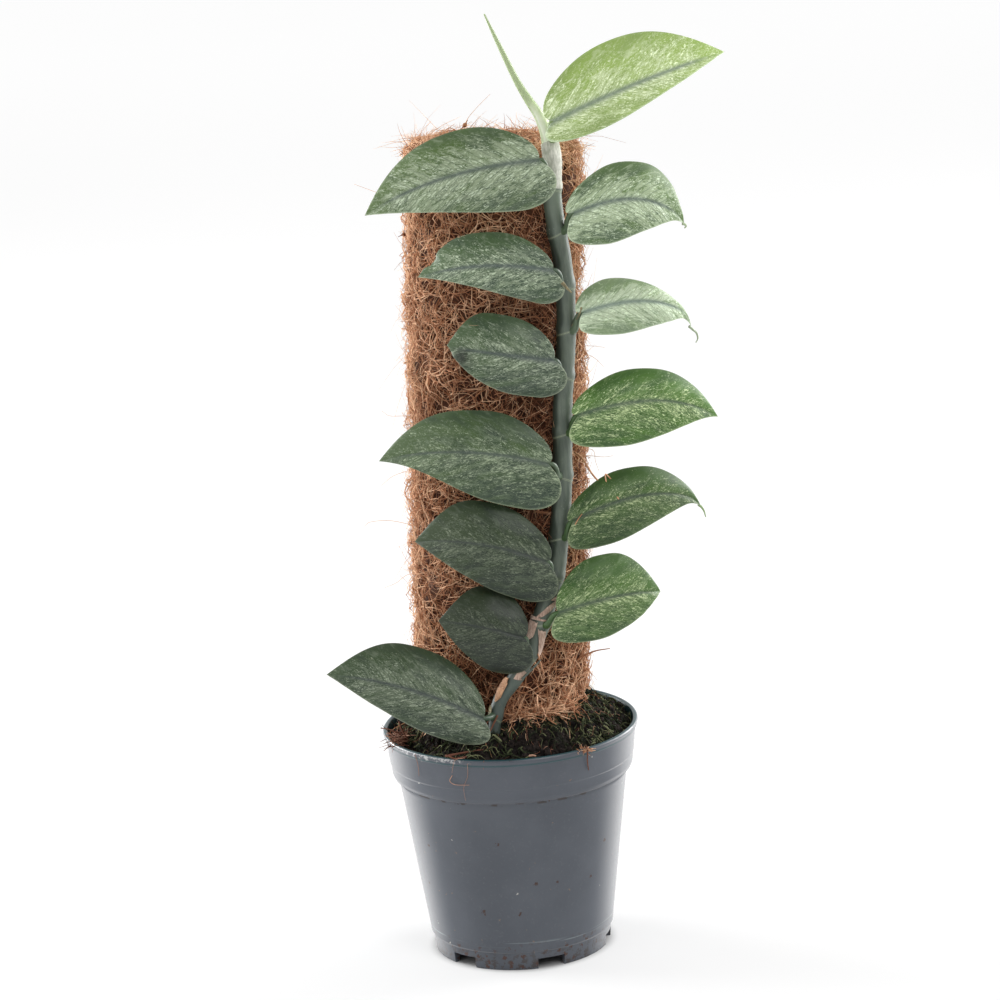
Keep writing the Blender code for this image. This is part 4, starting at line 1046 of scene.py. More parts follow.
# For each look: deep green, fresh green, patches, flecks, midrib, margin, and how much the flecks hide
LEAF_TINTS = {
    "dark": ((0.024, 0.046, 0.026), (0.054, 0.098, 0.026), (0.140, 0.190, 0.112), (0.42, 0.50, 0.33),
             (0.070, 0.095, 0.078), (0.34, 0.40, 0.25), 0.85),
    "grey": ((0.028, 0.050, 0.030), (0.050, 0.092, 0.032), (0.185, 0.235, 0.150), (0.50, 0.58, 0.42),
             (0.058, 0.078, 0.074), (0.38, 0.43, 0.30), 0.85),
    "silvery": ((0.050, 0.080, 0.042), (0.074, 0.128, 0.032), (0.265, 0.325, 0.205), (0.56, 0.65, 0.48),
                (0.060, 0.084, 0.074), (0.46, 0.53, 0.37), 0.85),
    "frosted": ((0.085, 0.120, 0.068), (0.105, 0.155, 0.066), (0.245, 0.290, 0.200), (0.40, 0.47, 0.34),
                (0.072, 0.100, 0.086), (0.36, 0.42, 0.30), 0.80),
    "green": ((0.020, 0.058, 0.009), (0.048, 0.122, 0.012), (0.125, 0.200, 0.070), (0.54, 0.64, 0.34),
              (0.048, 0.075, 0.048), (0.38, 0.46, 0.26), 0.85),
    "young": ((0.185, 0.262, 0.075), (0.225, 0.330, 0.068), (0.430, 0.510, 0.280), (0.70, 0.78, 0.53),
              (0.120, 0.160, 0.125), (0.60, 0.70, 0.52), 0.92),
}
GREENS = {look: leaf_finish("leaf_" + look, *tints) for look, tints in LEAF_TINTS.items()}
print("leaf finishes:", ", ".join(GREENS))

# %% Leaves
for leaf in LEAVES:
    parts = [blade(leaf), stalk(leaf)] + ([tail(leaf)] if leaf.tail else [])
    piece(leaf.name + "_blade", join(parts), GREENS[leaf.look], (leaf.name,), 70.0)

# %% [markdown]
# ## Stem and young shoot
# The stem is grey-green, and a painted shade makes it nearly black on its left. Every joint has a thin pale
# ring, tilted up to the leaf that leaves it. Above it stands the fresh shoot, with the newest leaf still
# rolled up like a scroll.

# %% Stem finish


def stem_finish():
    """Grey-green, with a painted shade on the side that the shade value marks, and pale rings and freckles.
    """
    made = Finish("stem_skin")
    place = made.place()
    _, _, height = made.axes()
    streaks = made.noise(place, 700.0, 3.0, 0.6, stretch=(1.0, 1.0, 0.14))
    made.base(streaks.step(0.3, 0.7), (0.078, 0.100, 0.080), (0.115, 0.140, 0.108))
    made.coat(made.stored("shade") * 0.9, (0.020, 0.032, 0.021))
    made.coat(height.step(0.338, 0.372, 0.0, 0.6), (0.170, 0.215, 0.160))
    made.coat(height.step(0.165, 0.125, 0.0, 0.7), (0.038, 0.055, 0.050))
    freckles = made.noise(place, 1500.0, 2.0).step(0.66, 0.74, 0.0, 0.5)
    made.coat(freckles * made.noise(place, 110.0, 2.0).step(0.5, 0.62), (0.32, 0.35, 0.31))
    made.coat(made.stored("ring") * 0.6, (0.36, 0.40, 0.27))
    return made.wear(streaks.step(0.3, 0.7, 0.44, 0.54), made.bump(streaks, 0.10, 0.0006),
                     Specular_IOR_Level=0.45)


def stem_rings(z, sides):
    """The stem's centre at each height, the angles round it, and the direction at each, from its front
    round by its right."""
    centre, _, right, front = stem_axes(z)
    angle = math.tau * np.arange(sides) / sides
    return centre, angle, np.cos(angle)[:, None] * front[:, None] + np.sin(angle)[:, None] * right[:, None]


def capped(rings, closing, values):
    """Rings of points of one closed tube, with a point at each end that closes it."""
    rows, sides = rings.shape[:2]
    count = rows * sides
    side = np.arange(sides)
    following = (side + 1) % sides
    low = stack(np.full(sides, count), following, side)
    high = stack(np.full(sides, count + 1), side + count - sides, following + count - sides)
    points = np.concatenate([rings.reshape(-1, 3), closing])
    kept = {name: np.concatenate([value.reshape(-1), [0.0, 0.0]]) for name, value in values.items()}
    return Shape(points, [grid_faces(rows, sides, close_columns=True), np.concatenate([low, high])], kept)


def stem_shape():
    """A tube along the stem line. A ring is pale where the height, less the tilt round the stem,
    matches a joint, and a low ridge stands there."""
    z = np.arange(STEM_ROUTE[0, 1], STEM_TOP_Z + 0.01, 0.6)
    centre, angle, spread = stem_rings(z, 36)
    leaf_side = np.array([leaf.side for leaf in LEAVES])
    tilt = 1.6 * leaf_side * np.sin(angle)[:, None] + 0.5 * np.cos(angle)[:, None]
    off = z[:, None, None] - (JOINTS - 1.5 + tilt)[None]
    ring = np.exp(-(off / 0.34) ** 2).max(axis=-1)
    lap = np.exp(-np.maximum(off, 0.0) / 5.0) * (off > 0)
    spot = centre[:, None, :] + 4.0 * spread
    radius = stem_radius(z)[:, None] + 0.20 * lap.max(axis=-1) + 0.08 * ring
    radius = radius + 0.14 * rough(spot / 6.0, 2, 5)
    # Painted shade: the stem's left side, from this wavering edge most of the way round to the back, is
    # marked dark
    edge = math.radians(-28.0) + 0.25 * noise(stack(z / 9.0, 0.0 * z, 0.0 * z), 8)[:, None]
    turned = (angle[None] + math.pi) % math.tau - math.pi
    shade = smoothstep(edge + 0.16, edge - 0.16, turned) * smoothstep(-2.6, -2.0, turned)
    return capped(centre[:, None] + radius[..., None] * spread, centre[[0, -1]],
                  {"ring": ring, "shade": shade})


stem_skin = stem_finish()
piece("stem_skin", stem_shape(), stem_skin, ("stem",))

# %% Young shoot


def shoot_finish():
    """Cream at the sheath, pale green above it, and greener along the fold. Its left side is darker green,
    partly the rolled leaf's own colour and partly painted shade.
    """
    made = Finish("young_shoot")
    _, _, height = made.axes()
    streaks = made.noise(made.place(), 1100.0, 3.0, 0.6, stretch=(1.0, 1.0, 0.08))
    made.base(streaks.step(0.35, 0.65), (0.42, 0.50, 0.30), (0.60, 0.66, 0.47))
    made.coat(made.stored("shade") * 0.7, (0.22, 0.32, 0.12))
    made.coat(made.stored("fold").step(0.2, 0.8, 0.0, 0.5), (0.24, 0.35, 0.12))
    sheath = height.step(0.408, 0.396, 0.0, 0.9) * made.stored("shade").step(0.9, 0.2, 0.3, 1.0)
    made.coat(sheath, (0.80, 0.84, 0.70))
    made.coat(height.step(0.398, 0.410, 0.0, 0.90), (0.31, 0.39, 0.20))
    return made.wear(0.42, made.bump(streaks, 0.02, 0.0005), Specular_IOR_Level=0.4)


def shoot_shape():
    """A tube whose section is a scroll: its radius grows by a step once round, at the fold, which
    winds slowly up the shoot."""
    z = np.linspace(STEM_TOP_Z - 2.0, SHOOT_ROUTE[-1, 1], 130)
    centre, angle, spread = stem_rings(z, 32)
    fold = 0.9 + (z - STEM_TOP_Z) / 60.0
    turned = np.mod(angle[None] - fold[:, None], math.tau) / math.tau
    scroll = 0.04 * (turned - 0.5) * smoothstep(382.0, 392.0, z)[:, None]
    radius = stem_radius(z)[:, None] * (1.0 + scroll)
    # The left side is marked for a darker green: partly the rolled leaf's colour, partly painted shade
    left = smoothstep(-0.3, -0.9, np.sin(angle))[None] * np.ones((len(z), 1))
    values = {"fold": smoothstep(0.16, 0.03, np.minimum(turned, 1.0 - turned)), "shade": left}
    return capped(centre[:, None] + radius[..., None] * spread, centre[[0, -1]], values)


piece("rolled_shoot", shoot_shape(), shoot_finish(), ("young_shoot",))

# %% [markdown]
# Old sheaths and scale leaves dry to thin paper that still wraps the stem. Each is a thin curved plate
# round part of the stem, with a ragged upper edge. Smaller ones, the stipules, stand at the joints.

# %% Dry scales


def dry_finish(name, dark, light):
    """Papery, with lengthwise fibres and blotches."""
    made = Finish(name)
    fibres = made.noise(made.place(), 1600.0, 4.0, 0.65, stretch=(1.0, 1.0, 0.2))
    made.base((fibres + made.noise(made.place(), 260.0, 3.0) * 0.5).step(0.55, 0.95), dark, light)
    return made.wear(0.7, made.bump(fibres, 0.35, 0.0005))


def wrap(z, facing, angle_width, length, stand_off=0.35, flare=0.4, thickness=0.4, ragged=0.8, seed=0,
         point=0.0, wind=0.0, slant=0.0, lower_point=0.0):
    """A curved plate round the stem. The grid runs round the stem and up it, over the outer face and
    back down the inner one. point draws the upper edge up in the middle, lower_point draws the lower
    edge down, wind turns the plate round the stem as it rises, and slant tilts its lower edge."""
    rows, columns = 12, 20
    share = np.linspace(0.0, 1.0, rows)[:, None]
    round_share = np.linspace(-0.5, 0.5, columns)[None]
    angle = np.radians(facing + angle_width * round_share + wind * (share - 0.5))
    edge = ragged * noise(stack(angle * 6.0, 0.0 * angle, 0.0 * angle + seed), seed)
    peak = 1.0 - (2.0 * np.abs(round_share)) ** 1.5
    height = z + length * (share - 0.5) + share ** 2 * (edge + point * peak)
    height = height + (1.0 - share) ** 2 * (slant * round_share - lower_point * peak)
    centre, _, right, front = stem_axes(height)
    crumple = 0.2 * noise(stack(angle * 3.0, height / 3.0, 0.0 * height + seed), seed + 1)
    reach = stem_radius(height) + stand_off + flare * share ** 2 + crumple
    spread = np.cos(angle)[..., None] * front + np.sin(angle)[..., None] * right
    ring = both(centre + (reach + thickness)[..., None] * spread, centre + reach[..., None] * spread)
    count = ring.shape[1]
    ends = np.arange(columns - 1)
    low = stack(ends, count - 1 - ends, count - 2 - ends, ends + 1)
    high = (low + (rows - 1) * count)[:, ::-1]
    return Shape(ring.reshape(-1, 3), [grid_faces(rows, count, close_columns=True), low, high])


orange_paper = dry_finish("dry_paper_orange", (0.20, 0.095, 0.045), (0.46, 0.25, 0.13))
pink_paper = dry_finish("dry_paper_pale", (0.24, 0.155, 0.115), (0.50, 0.36, 0.28))
white_paper = dry_finish("sheath_paper", (0.36, 0.37, 0.30), (0.62, 0.62, 0.55))
piece("dry_scale_1_paper",
      wrap(135.4, -46.0, 52.0, 4.8, point=2.4, lower_point=2.6, wind=-16.0, ragged=0.5, seed=20),
      orange_paper, ("dry_scale_1",))
piece("dry_scale_2_paper", join([
    wrap(158.6, 36.0, 42.0, 9.0, lower_point=1.5, wind=-50.0, ragged=0.4, seed=22),
    wrap(143.2, 8.0, 50.0, 3.4, point=0.8, slant=1.0, ragged=0.4, seed=23)]), pink_paper,
      ("dry_scale_2",))
piece("dry_scale_3_paper", join([
    wrap(172.4, 12.0, 36.0, 8.4, wind=72.0, slant=1.5, ragged=0.4, seed=24),
    wrap(162.8, -46.0, 50.0, 6.2, stand_off=0.9, flare=-0.6, thickness=0.5, point=0.5, lower_point=2.4,
         seed=21),
    wrap(167.6, 0.0, 190.0, 0.9, stand_off=0.2, flare=0.1, slant=2.0, ragged=0.3, seed=25),
    wrap(178.4, 58.0, 60.0, 3.6, stand_off=0.1, flare=2.6, wind=30.0, point=1.4, seed=26)]), pink_paper,
      ("dry_scale_3",))
sheath = wrap(376.6, 6.0, 190.0, 19.5, stand_off=0.05, flare=0.0, thickness=0.3, ragged=0.5, slant=-3.5,
              point=2.0, seed=27)
piece("sheath_paper", sheath, white_paper)
olive_paper = dry_finish("dry_paper_olive", (0.095, 0.080, 0.040), (0.300, 0.250, 0.130))
stipules = [wrap(leaf.notch_z - leaf.drop + 1.4, 56.0 * leaf.side, 26.0, 3.4, stand_off=0.2, flare=0.7,
                 point=1.8, ragged=0.4, seed=30 + leaf.seed) for leaf in LEAVES if leaf.notch_z < 370.0]
stipules += [single_strand(points, start, end) for start, end, points in (
    (0.9, 0.3, ((35.2, -43.4, 325.2), (37.2, -43.9, 322.6), (39.2, -43.0, 320.2))),
    (0.5, 0.25, ((43.4, -36.0, 311.8), (41.6, -35.0, 307.4), (38.6, -30.6, 302.4))))]
piece("stipules", join(stipules), olive_paper)
green_root = single_strand(((15.8, -40.3, 149.8), (12.0, -42.4, 146.6), (6.6, -42.3, 141.6)), 0.35, 0.6)
piece("green_root", Shape(green_root.points, green_root.faces), stem_skin)

# %% [markdown]
# ## Coir pole
# The pole is a stake wrapped in a mat of coconut fibres. A lumpy core, painted as dark as the shade deep in
# the mat, stands for the depth of the mat, and three layers of real fibres, thousands of thin curled tubes,
# lie round it. Each fibre is one path
# on the unrolled cylinder: its heading wanders, so it curls, and its depth swings, so it dives under others.

# %% Pole helper
# The mat's radius, the core's inside it, how far fibres on the pole's end may reach, and the heights
# over the soil line between which the mat's lumps set in
COIR_RADIUS, CORE_RADIUS, END_RADIUS, LUMPS_FROM = 40.0, 38.0, 39.5, (4.0, 14.0)
COIR_TOP = (POLE_TOP_Z - POLE_FOOT[2]) / math.cos(POLE_LEAN)


def on_pole(angle, height, radius):
    """A point of the pole, from its angle, its height above the soil line and its distance from the
    axis, leaned with the pole."""
    x, y = radius * np.cos(angle), radius * np.sin(angle)
    leaned_x = x * math.cos(POLE_LEAN) + height * math.sin(POLE_LEAN)
    leaned_z = height * math.cos(POLE_LEAN) - x * math.sin(POLE_LEAN)
    return stack(leaned_x, y + 0.0 * height, leaned_z) + POLE_FOOT


def round_pole(angle, height):
    """A place on an upright cylinder as wide as the coir, where the mat's noise is read."""
    return stack(COIR_RADIUS * np.cos(angle), COIR_RADIUS * np.sin(angle), height)


def mat_lumps(angle, height):
    """How far the mat bulges or sinks at a place: clumps a few centimetres across, flat at the foot."""
    return 1.5 * rough(round_pole(angle, height) / 10.0, 3, 11) * smoothstep(*LUMPS_FROM, height)


print("the pole stands", round(COIR_TOP), "mm out of the soil line")

# %% Coir finish


def coir_finish(name, dark, middle, light):
    """Every fibre has its own tone, stored on the mesh, and noise along it adds the rest."""
    made = Finish(name)
    tone = made.stored("tone") * 0.80 + made.noise(made.place(), 500.0, 3.0, 0.6) * 0.45
    made.base(tone.step(0.17, 0.58), dark, middle)
    made.coat(tone.step(0.55, 0.97), light)
    return made.wear(0.75, Specular_IOR_Level=0.12)


fibre_brown = coir_finish("coir_fibre", (0.135, 0.048, 0.022), (0.470, 0.225, 0.120), (0.860, 0.560, 0.360))
# The core's colour is a painted shade: the mat's brown fibres as dark as they look deep in shadow
core_painted_shade = coir_finish("coir_core_painted_shade", (0.022, 0.008, 0.004), (0.060, 0.022, 0.011), (0.110, 0.045, 0.022))

# %% Coir core


def core_shape():
    """A cylinder whose face is pushed in and out by noise, closed over its top and its foot."""
    face = np.linspace(-28.0, COIR_TOP - 3.0, 120)
    heights = np.concatenate([[-29.5], face, [COIR_TOP - 1.0, COIR_TOP - 0.5]])
    radii = np.concatenate([[38.0], np.full(len(face), 37.9), [35.5, 29.0]])
    angle = math.tau * np.arange(110) / 110
    height, angle = np.meshgrid(heights, angle, indexing="ij")
    around = round_pole(angle, height)
    relief = mat_lumps(angle, height) + 0.7 * rough(around / 3.0, 2, 15) * smoothstep(*LUMPS_FROM, height)
    tone = 0.5 + 0.5 * rough(around / 2.2, 2, 12)
    points = on_pole(angle, height, radii[:, None] + relief)
    ends = on_pole(np.zeros(2), np.array([heights[0], heights[-1]]), np.zeros(2))
    return capped(points, ends, {"tone": tone})


piece("coir_core_painted_shade", core_shape(), core_painted_shade, ("coir_sleeve", "pole_stake"))

# %% Coir fibres


def painted_stem_shade(points):
    """Where the painted shade of the stem falls: a bell across the front of the pole, a little left of the
    stem and wider near the soil.
    """
    aside = points[:, 0] - stem_axes(np.clip(points[:, 2], STEM_FOOT_Z, STEM_TOP_Z))[0][:, 0] + 11.0
    width = 8.0 + 9.0 * smoothstep(170.0, 130.0, points[:, 2])
    return np.exp(-(aside / width) ** 2) * (points[:, 1] < -10.0)


def curled_fibres(count, seed, length, curl, depth, thickness, tones, bare):
    """Paths on the cylinder. Heading is a start angle plus a steady bend and a slow swing; the path is
    the running sum of short steps along it; depth swings between the given radii. Fibres whose middle
    falls where the clump noise is below bare are left out, which opens dark hollows in the mat."""
    draws = Draws(count, seed)
    low, high, steps = 5.0, COIR_TOP + 0.5, 6
    reach = draws.even(*length) / steps
    along = np.arange(steps)[None] / (steps - 1)
    heading = draws.even(0.0, math.tau) + draws.bell(curl) * along
    heading = heading + draws.bell(0.3) * np.sin(math.tau * along + draws.even(0.0, 6.0))
    walk_round, walk_up = walk(heading, reach)
    angle = draws.even(0.0, math.tau) + walk_round / COIR_RADIUS
    height = draws.even(low - 4.0, high + 2.0) + walk_up
    height = high - np.abs(high - height)
    height = low + np.abs(height - low)
    swing = draws.even(0.4, 1.0) * np.sin(math.pi * along * draws.even(0.8, 2.2) + draws.even(0.0, 6.0))
    rounding = 3.4 * smoothstep(high - 4.0, high + 0.5, height) ** 2
    radius = (depth[0] + depth[1]) / 2 + (depth[1] - depth[0]) / 2 * swing
    radius = radius + mat_lumps(angle, height) - rounding
    paths = on_pole(angle, height, radius)
    outward = on_pole(angle, height, radius + 1.0) - paths
    width = draws.even(*thickness) * np.interp(along, *FIBRE_TAPER)
    tone = tones[0] + (tones[1] - tones[0]) * draws.even(0.0, 1.0) ** 1.2
    middle = paths[:, 3]
    # Painted shade: fibres just left of the stem are darkened
    tone = tone * (1.0 - 0.85 * painted_stem_shade(middle)[:, None])
    # Painted light: fibres near the pole's top are made paler
    tone = tone + 0.20 * smoothstep(310.0, 385.0, middle[:, 2])[:, None]
    kept = rough(middle / 11.0, 2, 17) > bare
    return tubes(paths[kept], width[kept], 3, outward[kept], {"tone": tone[kept]})


fibre_layers = (
    ("coir_fibres_deep", 2500, 31, (12.0, 26.0), 0.9, (37.2, 39.2), (0.22, 0.40), (0.0, 0.50), -0.95),
    ("coir_fibres_middle", 4600, 32, (10.0, 24.0), 0.9, (38.0, 41.2), (0.17, 0.32), (0.1, 0.95), -0.44),
    ("coir_fibres_top", 4600, 33, (9.0, 24.0), 1.1, (38.6, 43.0), (0.13, 0.28), (0.25, 1.0), -0.30),
)
for name, *settings in fibre_layers:
    loose_piece(name, curled_fibres(*settings), fibre_brown)

# %% [markdown]
# Loose ends stand out of the mat as a fine halo, and more lie across the top of the pole and round its foot.

# %% Coir halo


def loose_ends(count, seed, length, thickness, spread):
    """Hairs that leave the mat outwards and bend over: each step turns the direction a little. One in
    eight starts on the end of the pole and leaves it upwards."""
    rng = np.random.default_rng(seed)
    crown = rng.uniform(0.0, 1.0, count) < 0.125
    angle = rng.uniform(0.0, math.tau, count)
    height = np.where(crown, COIR_TOP - 1.0, rng.uniform(4.0, COIR_TOP - 0.5, count))
    radius = np.where(crown, (CORE_RADIUS + 0.5) * np.sqrt(rng.uniform(0.3, 1.0, count)),
                      CORE_RADIUS + mat_lumps(angle, height))
    start = on_pole(angle, height, radius)
    outward = on_pole(angle, height + 2.0 * crown, radius + 1.0) - start
    outward = unit(outward + rng.normal(0.0, 0.05, outward.shape))
    sideways = unit(np.cross(outward, UP))
    upward = np.cross(sideways, outward)
    lean_side, lean_up = rng.normal(0.0, spread, (2, count, 1))
    bend_side, bend_up = rng.normal(0.0, 1.1, (2, count, 1))
    t = np.linspace(0.0, 1.0, 4)[None]
    reach = 1.3 + rng.uniform(*length, (count, 1)) * rng.uniform(0.3, 1.0, (count, 1))
    parts = ((t - 0.35 * t ** 2, outward), (lean_side * t + bend_side * 0.5 * t ** 2, sideways),
             (lean_up * t + bend_up * 0.5 * t ** 2, upward))
    moved = sum(amount[..., None] * way[:, None] for amount, way in parts)
    width = rng.uniform(*thickness, (count, 1)) * (1.0 - 0.7 * t)
    facing = rng.normal(0.0, 1.0, (count, 1, 3))
    return tubes(start[:, None] + reach[..., None] * moved, width, 3, facing,
                 {"tone": rng.uniform(0.4, 1.0, (count, 1))})


def top_fibres(count, seed):
    """Fibres that lie criss-cross over the end of the pole."""
    draws = Draws(count, seed)
    t = np.linspace(0.0, 1.0, 6)
    radius = CORE_RADIUS * np.sqrt(draws.even(0.02, 1.0))
    angle = draws.even(0.0, math.tau)
    heading = draws.even(0.0, math.tau) + draws.bell(0.8) * t
    across, along = walk(heading, draws.even(8.0, 22.0) / len(t))
    x, y, far = held_within(radius * np.cos(angle) + across, radius * np.sin(angle) + along, END_RADIUS)
    arch = draws.even(0.0, 2.8) * np.sin(math.pi * t)
    height = COIR_TOP + draws.even(-1.3, 0.3) + arch - 2.6 * smoothstep(35.0, END_RADIUS, far)
    paths = on_pole(np.arctan2(y, x), height, far)
    return tubes(paths, draws.even(0.13, 0.28), 3, UP, {"tone": draws.even(0.2, 1.0)})


halo = join([loose_ends(8600, 41, (3.0, 9.5), (0.12, 0.21), 0.8),
             loose_ends(880, 42, (7.0, 17.0), (0.10, 0.16), 0.6)])
loose_piece("coir_halo", halo, fibre_brown)
loose_piece("coir_top_fibres", top_fibres(1000, 43), fibre_brown)

# %% [markdown]
# ## Potting mix
# Black peat fills the pot and is heaped up round the pole. The body is the solid's own form with finer
# clods. Crumbs, strands of moss, roots and fibres are scattered on it by rule, from one seed each.

# %% Mix surface
MIX_EDGE_Z, MIX_CREST_Z, MIX_CREST_RADIUS, MIX_SLOPE_POWER = 104.5, 118.6, 37.0, 1.25
MIX_FLOOR_Z, WALL_GAP = 5.1, 0.6
# Between which radii crumbs and strands start, how far strands may reach, and how near the pole
CRUMB_BAND, STRAND_BAND, STRAND_LIMIT, CLEAR_OF_POLE = (30.0, 56.0), (30.0, 55.5), 56.6, (END_RADIUS, 99.0)


def mix_height(x, y, fine=1.0):
    """Lowest at the wall and highest round the pole, with four sizes of clods."""
    radius = np.hypot(x, y)
    edge = inner_radius(MIX_EDGE_Z)
    climb = np.clip((edge - radius) / (edge - MIX_CREST_RADIUS), 0.0, 1.0)
    flat = stack(x, y, 0.0 * x + 3.0)
    clods = 2.4 * noise(flat / 9.0, 51) + 1.9 * noise(flat / 4.2, 52)
    clods += fine * (0.9 * noise(flat / 1.8, 53) + 0.5 * noise(flat / 0.9, 54))
    return MIX_EDGE_Z + (MIX_CREST_Z - MIX_EDGE_Z) * climb ** MIX_SLOPE_POWER + clods


def mix_shape():
    """The section runs up the inside of the wall and over the heap to the centre."""
    wall_z = np.array([MIX_FLOOR_Z, 9.4, 85.3, 89.8, 103.0])
    wall = stack(inner_radius(wall_z) - WALL_GAP, wall_z)
    top_radius = np.concatenate([np.linspace(56.5, 34.0, 52), np.linspace(30.0, 0.0, 5)])
    heap = stack(top_radius, np.full(len(top_radius), MIX_EDGE_Z))
    shape = spun(np.concatenate([[(0.0, MIX_FLOOR_Z)], wall, heap]), 240)
    top = shape.points[:, 2] >= MIX_EDGE_Z - 0.1
    shape.points[top, 2] = mix_height(shape.points[top, 0], shape.points[top, 1])
    return shape


def peat_finish(name, dark, light):
    """Nearly black, with browner crumbs and fibres."""
    made = Finish(name)
    crumbs = made.noise(made.place(), 650.0, 5.0, 0.7)
    made.base((crumbs + made.noise(made.place(), 90.0, 3.0) * 0.6).step(0.66, 1.05), dark, light)
    return made.wear(0.95, made.bump(crumbs, 0.8, 0.0015), Specular_IOR_Level=0.12)


peat = peat_finish("peat", (0.0055, 0.0045, 0.0045), (0.032, 0.025, 0.021))
piece("peat_body", mix_shape(), peat, ("potting_mix",), smooth_deg=180.0)

# %% Crumbs
golden = (1.0 + math.sqrt(5.0)) / 2.0
lump = np.array([(-1, golden, 0), (1, golden, 0), (-1, -golden, 0), (1, -golden, 0), (0, -1, golden),
                 (0, 1, golden), (0, -1, -golden), (0, 1, -golden), (golden, 0, -1), (golden, 0, 1),
                 (-golden, 0, -1), (-golden, 0, 1)]) / 1.9
lump_faces = np.array([(0, 11, 5), (0, 5, 1), (0, 1, 7), (0, 7, 10), (0, 10, 11), (1, 5, 9), (5, 11, 4),
                       (11, 10, 2), (10, 7, 6), (7, 1, 8), (3, 9, 4), (3, 4, 2), (3, 2, 6), (3, 6, 8),
                       (3, 8, 9), (4, 9, 5), (2, 4, 11), (6, 2, 10), (8, 6, 7), (9, 8, 1)])


def scattered(count, rng, near, far, patch=None, around_pole=CLEAR_OF_POLE):
    """Places on the heap between two radii, even by area, outside the pole. With a patch seed, only
    the places where a slow noise is high are kept, which gathers them in tufts."""
    radius = np.sqrt(rng.uniform(near ** 2, far ** 2, count * 6))
    angle = rng.uniform(0.0, math.tau, count * 6)
    x, y = radius * np.cos(angle), radius * np.sin(angle)
    away = np.hypot(x - POLE_FOOT[0] - 0.3, y - POLE_FOOT[1])
    kept = (away > around_pole[0]) & (away < around_pole[1])
    if patch is not None:
        kept &= noise(stack(x / 13.0, y / 13.0, 0.0 * x + 0.5), patch) > -0.10
    return x[kept][:count], y[kept][:count]


def lumps(count, seed, size):
    """Copies of one twelve-cornered lump, each turned and stretched at random and half sunk."""
    rng = np.random.default_rng(seed)
    x, y = scattered(count, rng, *CRUMB_BAND)
    count = len(x)
    spin, _ = np.linalg.qr(rng.normal(0.0, 1.0, (count, 3, 3)))
    spin *= np.sign(np.linalg.det(spin))[:, None, None]
    stretch = rng.uniform(*size, (count, 1)) * rng.uniform(0.6, 1.2, (count, 3))
    ragged = 1.0 + rng.normal(0.0, 0.12, (count, 12, 1))
    turned = np.einsum("nij,nkj->nki", spin, lump[None] * ragged * stretch[:, None])
    centre = stack(x, y, mix_height(x, y, 0.5) + 0.3 * stretch[:, 0])
    points = (centre[:, None] + turned).reshape(-1, 3)
    return Shape(points, [(12 * np.arange(count)[:, None, None] + lump_faces[None]).reshape(-1, 3)])


peat_crumb = peat_finish("peat_crumb", (0.0080, 0.0064, 0.0062), (0.050, 0.038, 0.032))
piece("peat_crumbs", lumps(2600, 61, (0.4, 1.6)), peat_crumb, smooth_deg=30.0, merge=False)

# %% Moss, roots and fibres on the heap


def laid_strands(count, seed, length, thickness, curl, lift, patch=None, around_pole=CLEAR_OF_POLE):
    """Threads that lie on the heap: a wandering walk in plan, whose height is the heap's own plus a
    low arch."""
    rng = np.random.default_rng(seed)
    x, y = scattered(count, rng, *STRAND_BAND, patch, around_pole)
    draws = Draws(len(x), rng)
    t = np.linspace(0.0, 1.0, 7)[None]
    heading = draws.even(0.0, math.tau) + draws.bell(curl) * t
    heading = heading + 0.6 * np.sin(math.tau * t + draws.even(0.0, 6.0))
    across, along = walk(heading, draws.even(*length) / t.size)
    x, y, _ = held_within(x[:, None] + across, y[:, None] + along, STRAND_LIMIT)
    z = mix_height(x, y, 0.5) + draws.even(*lift) * np.sin(math.pi * t) + 0.35
    width = draws.even(*thickness) * np.interp(t, *STRAND_TAPER)
    return tubes(stack(x, y, z), width, 3, UP, {"tone": draws.even(0.0, 1.0) ** 1.7})


def tuft(count, seed, centre, size, length, thickness, curl=0.55):
    """A loose bundle of curled fibres round one place."""
    rng = np.random.default_rng(seed)
    t = np.linspace(0.0, 1.0, 7)[None, :, None]
    start = np.array(centre) + rng.normal(0.0, 0.42, (count, 1, 3)) * np.array(size)
    run = unit(rng.normal(0.0, 1.0, (count, 1, 3)) * np.array([1.0, 1.0, 0.6]))
    bend = rng.normal(0.0, curl, (count, 1, 3))
    reach = rng.uniform(*length, (count, 1, 1))
    paths = start + reach * (run * (t - 0.5) + bend * (t - 0.5) ** 2)
    width = rng.uniform(*thickness, (count, 1)) * np.interp(t[..., 0], *STRAND_TAPER)
    facing = rng.normal(0.0, 1.0, (count, 1, 3))
    return tubes(paths, width, 3, facing, {"tone": rng.uniform(0.1, 0.9, (count, 1))})


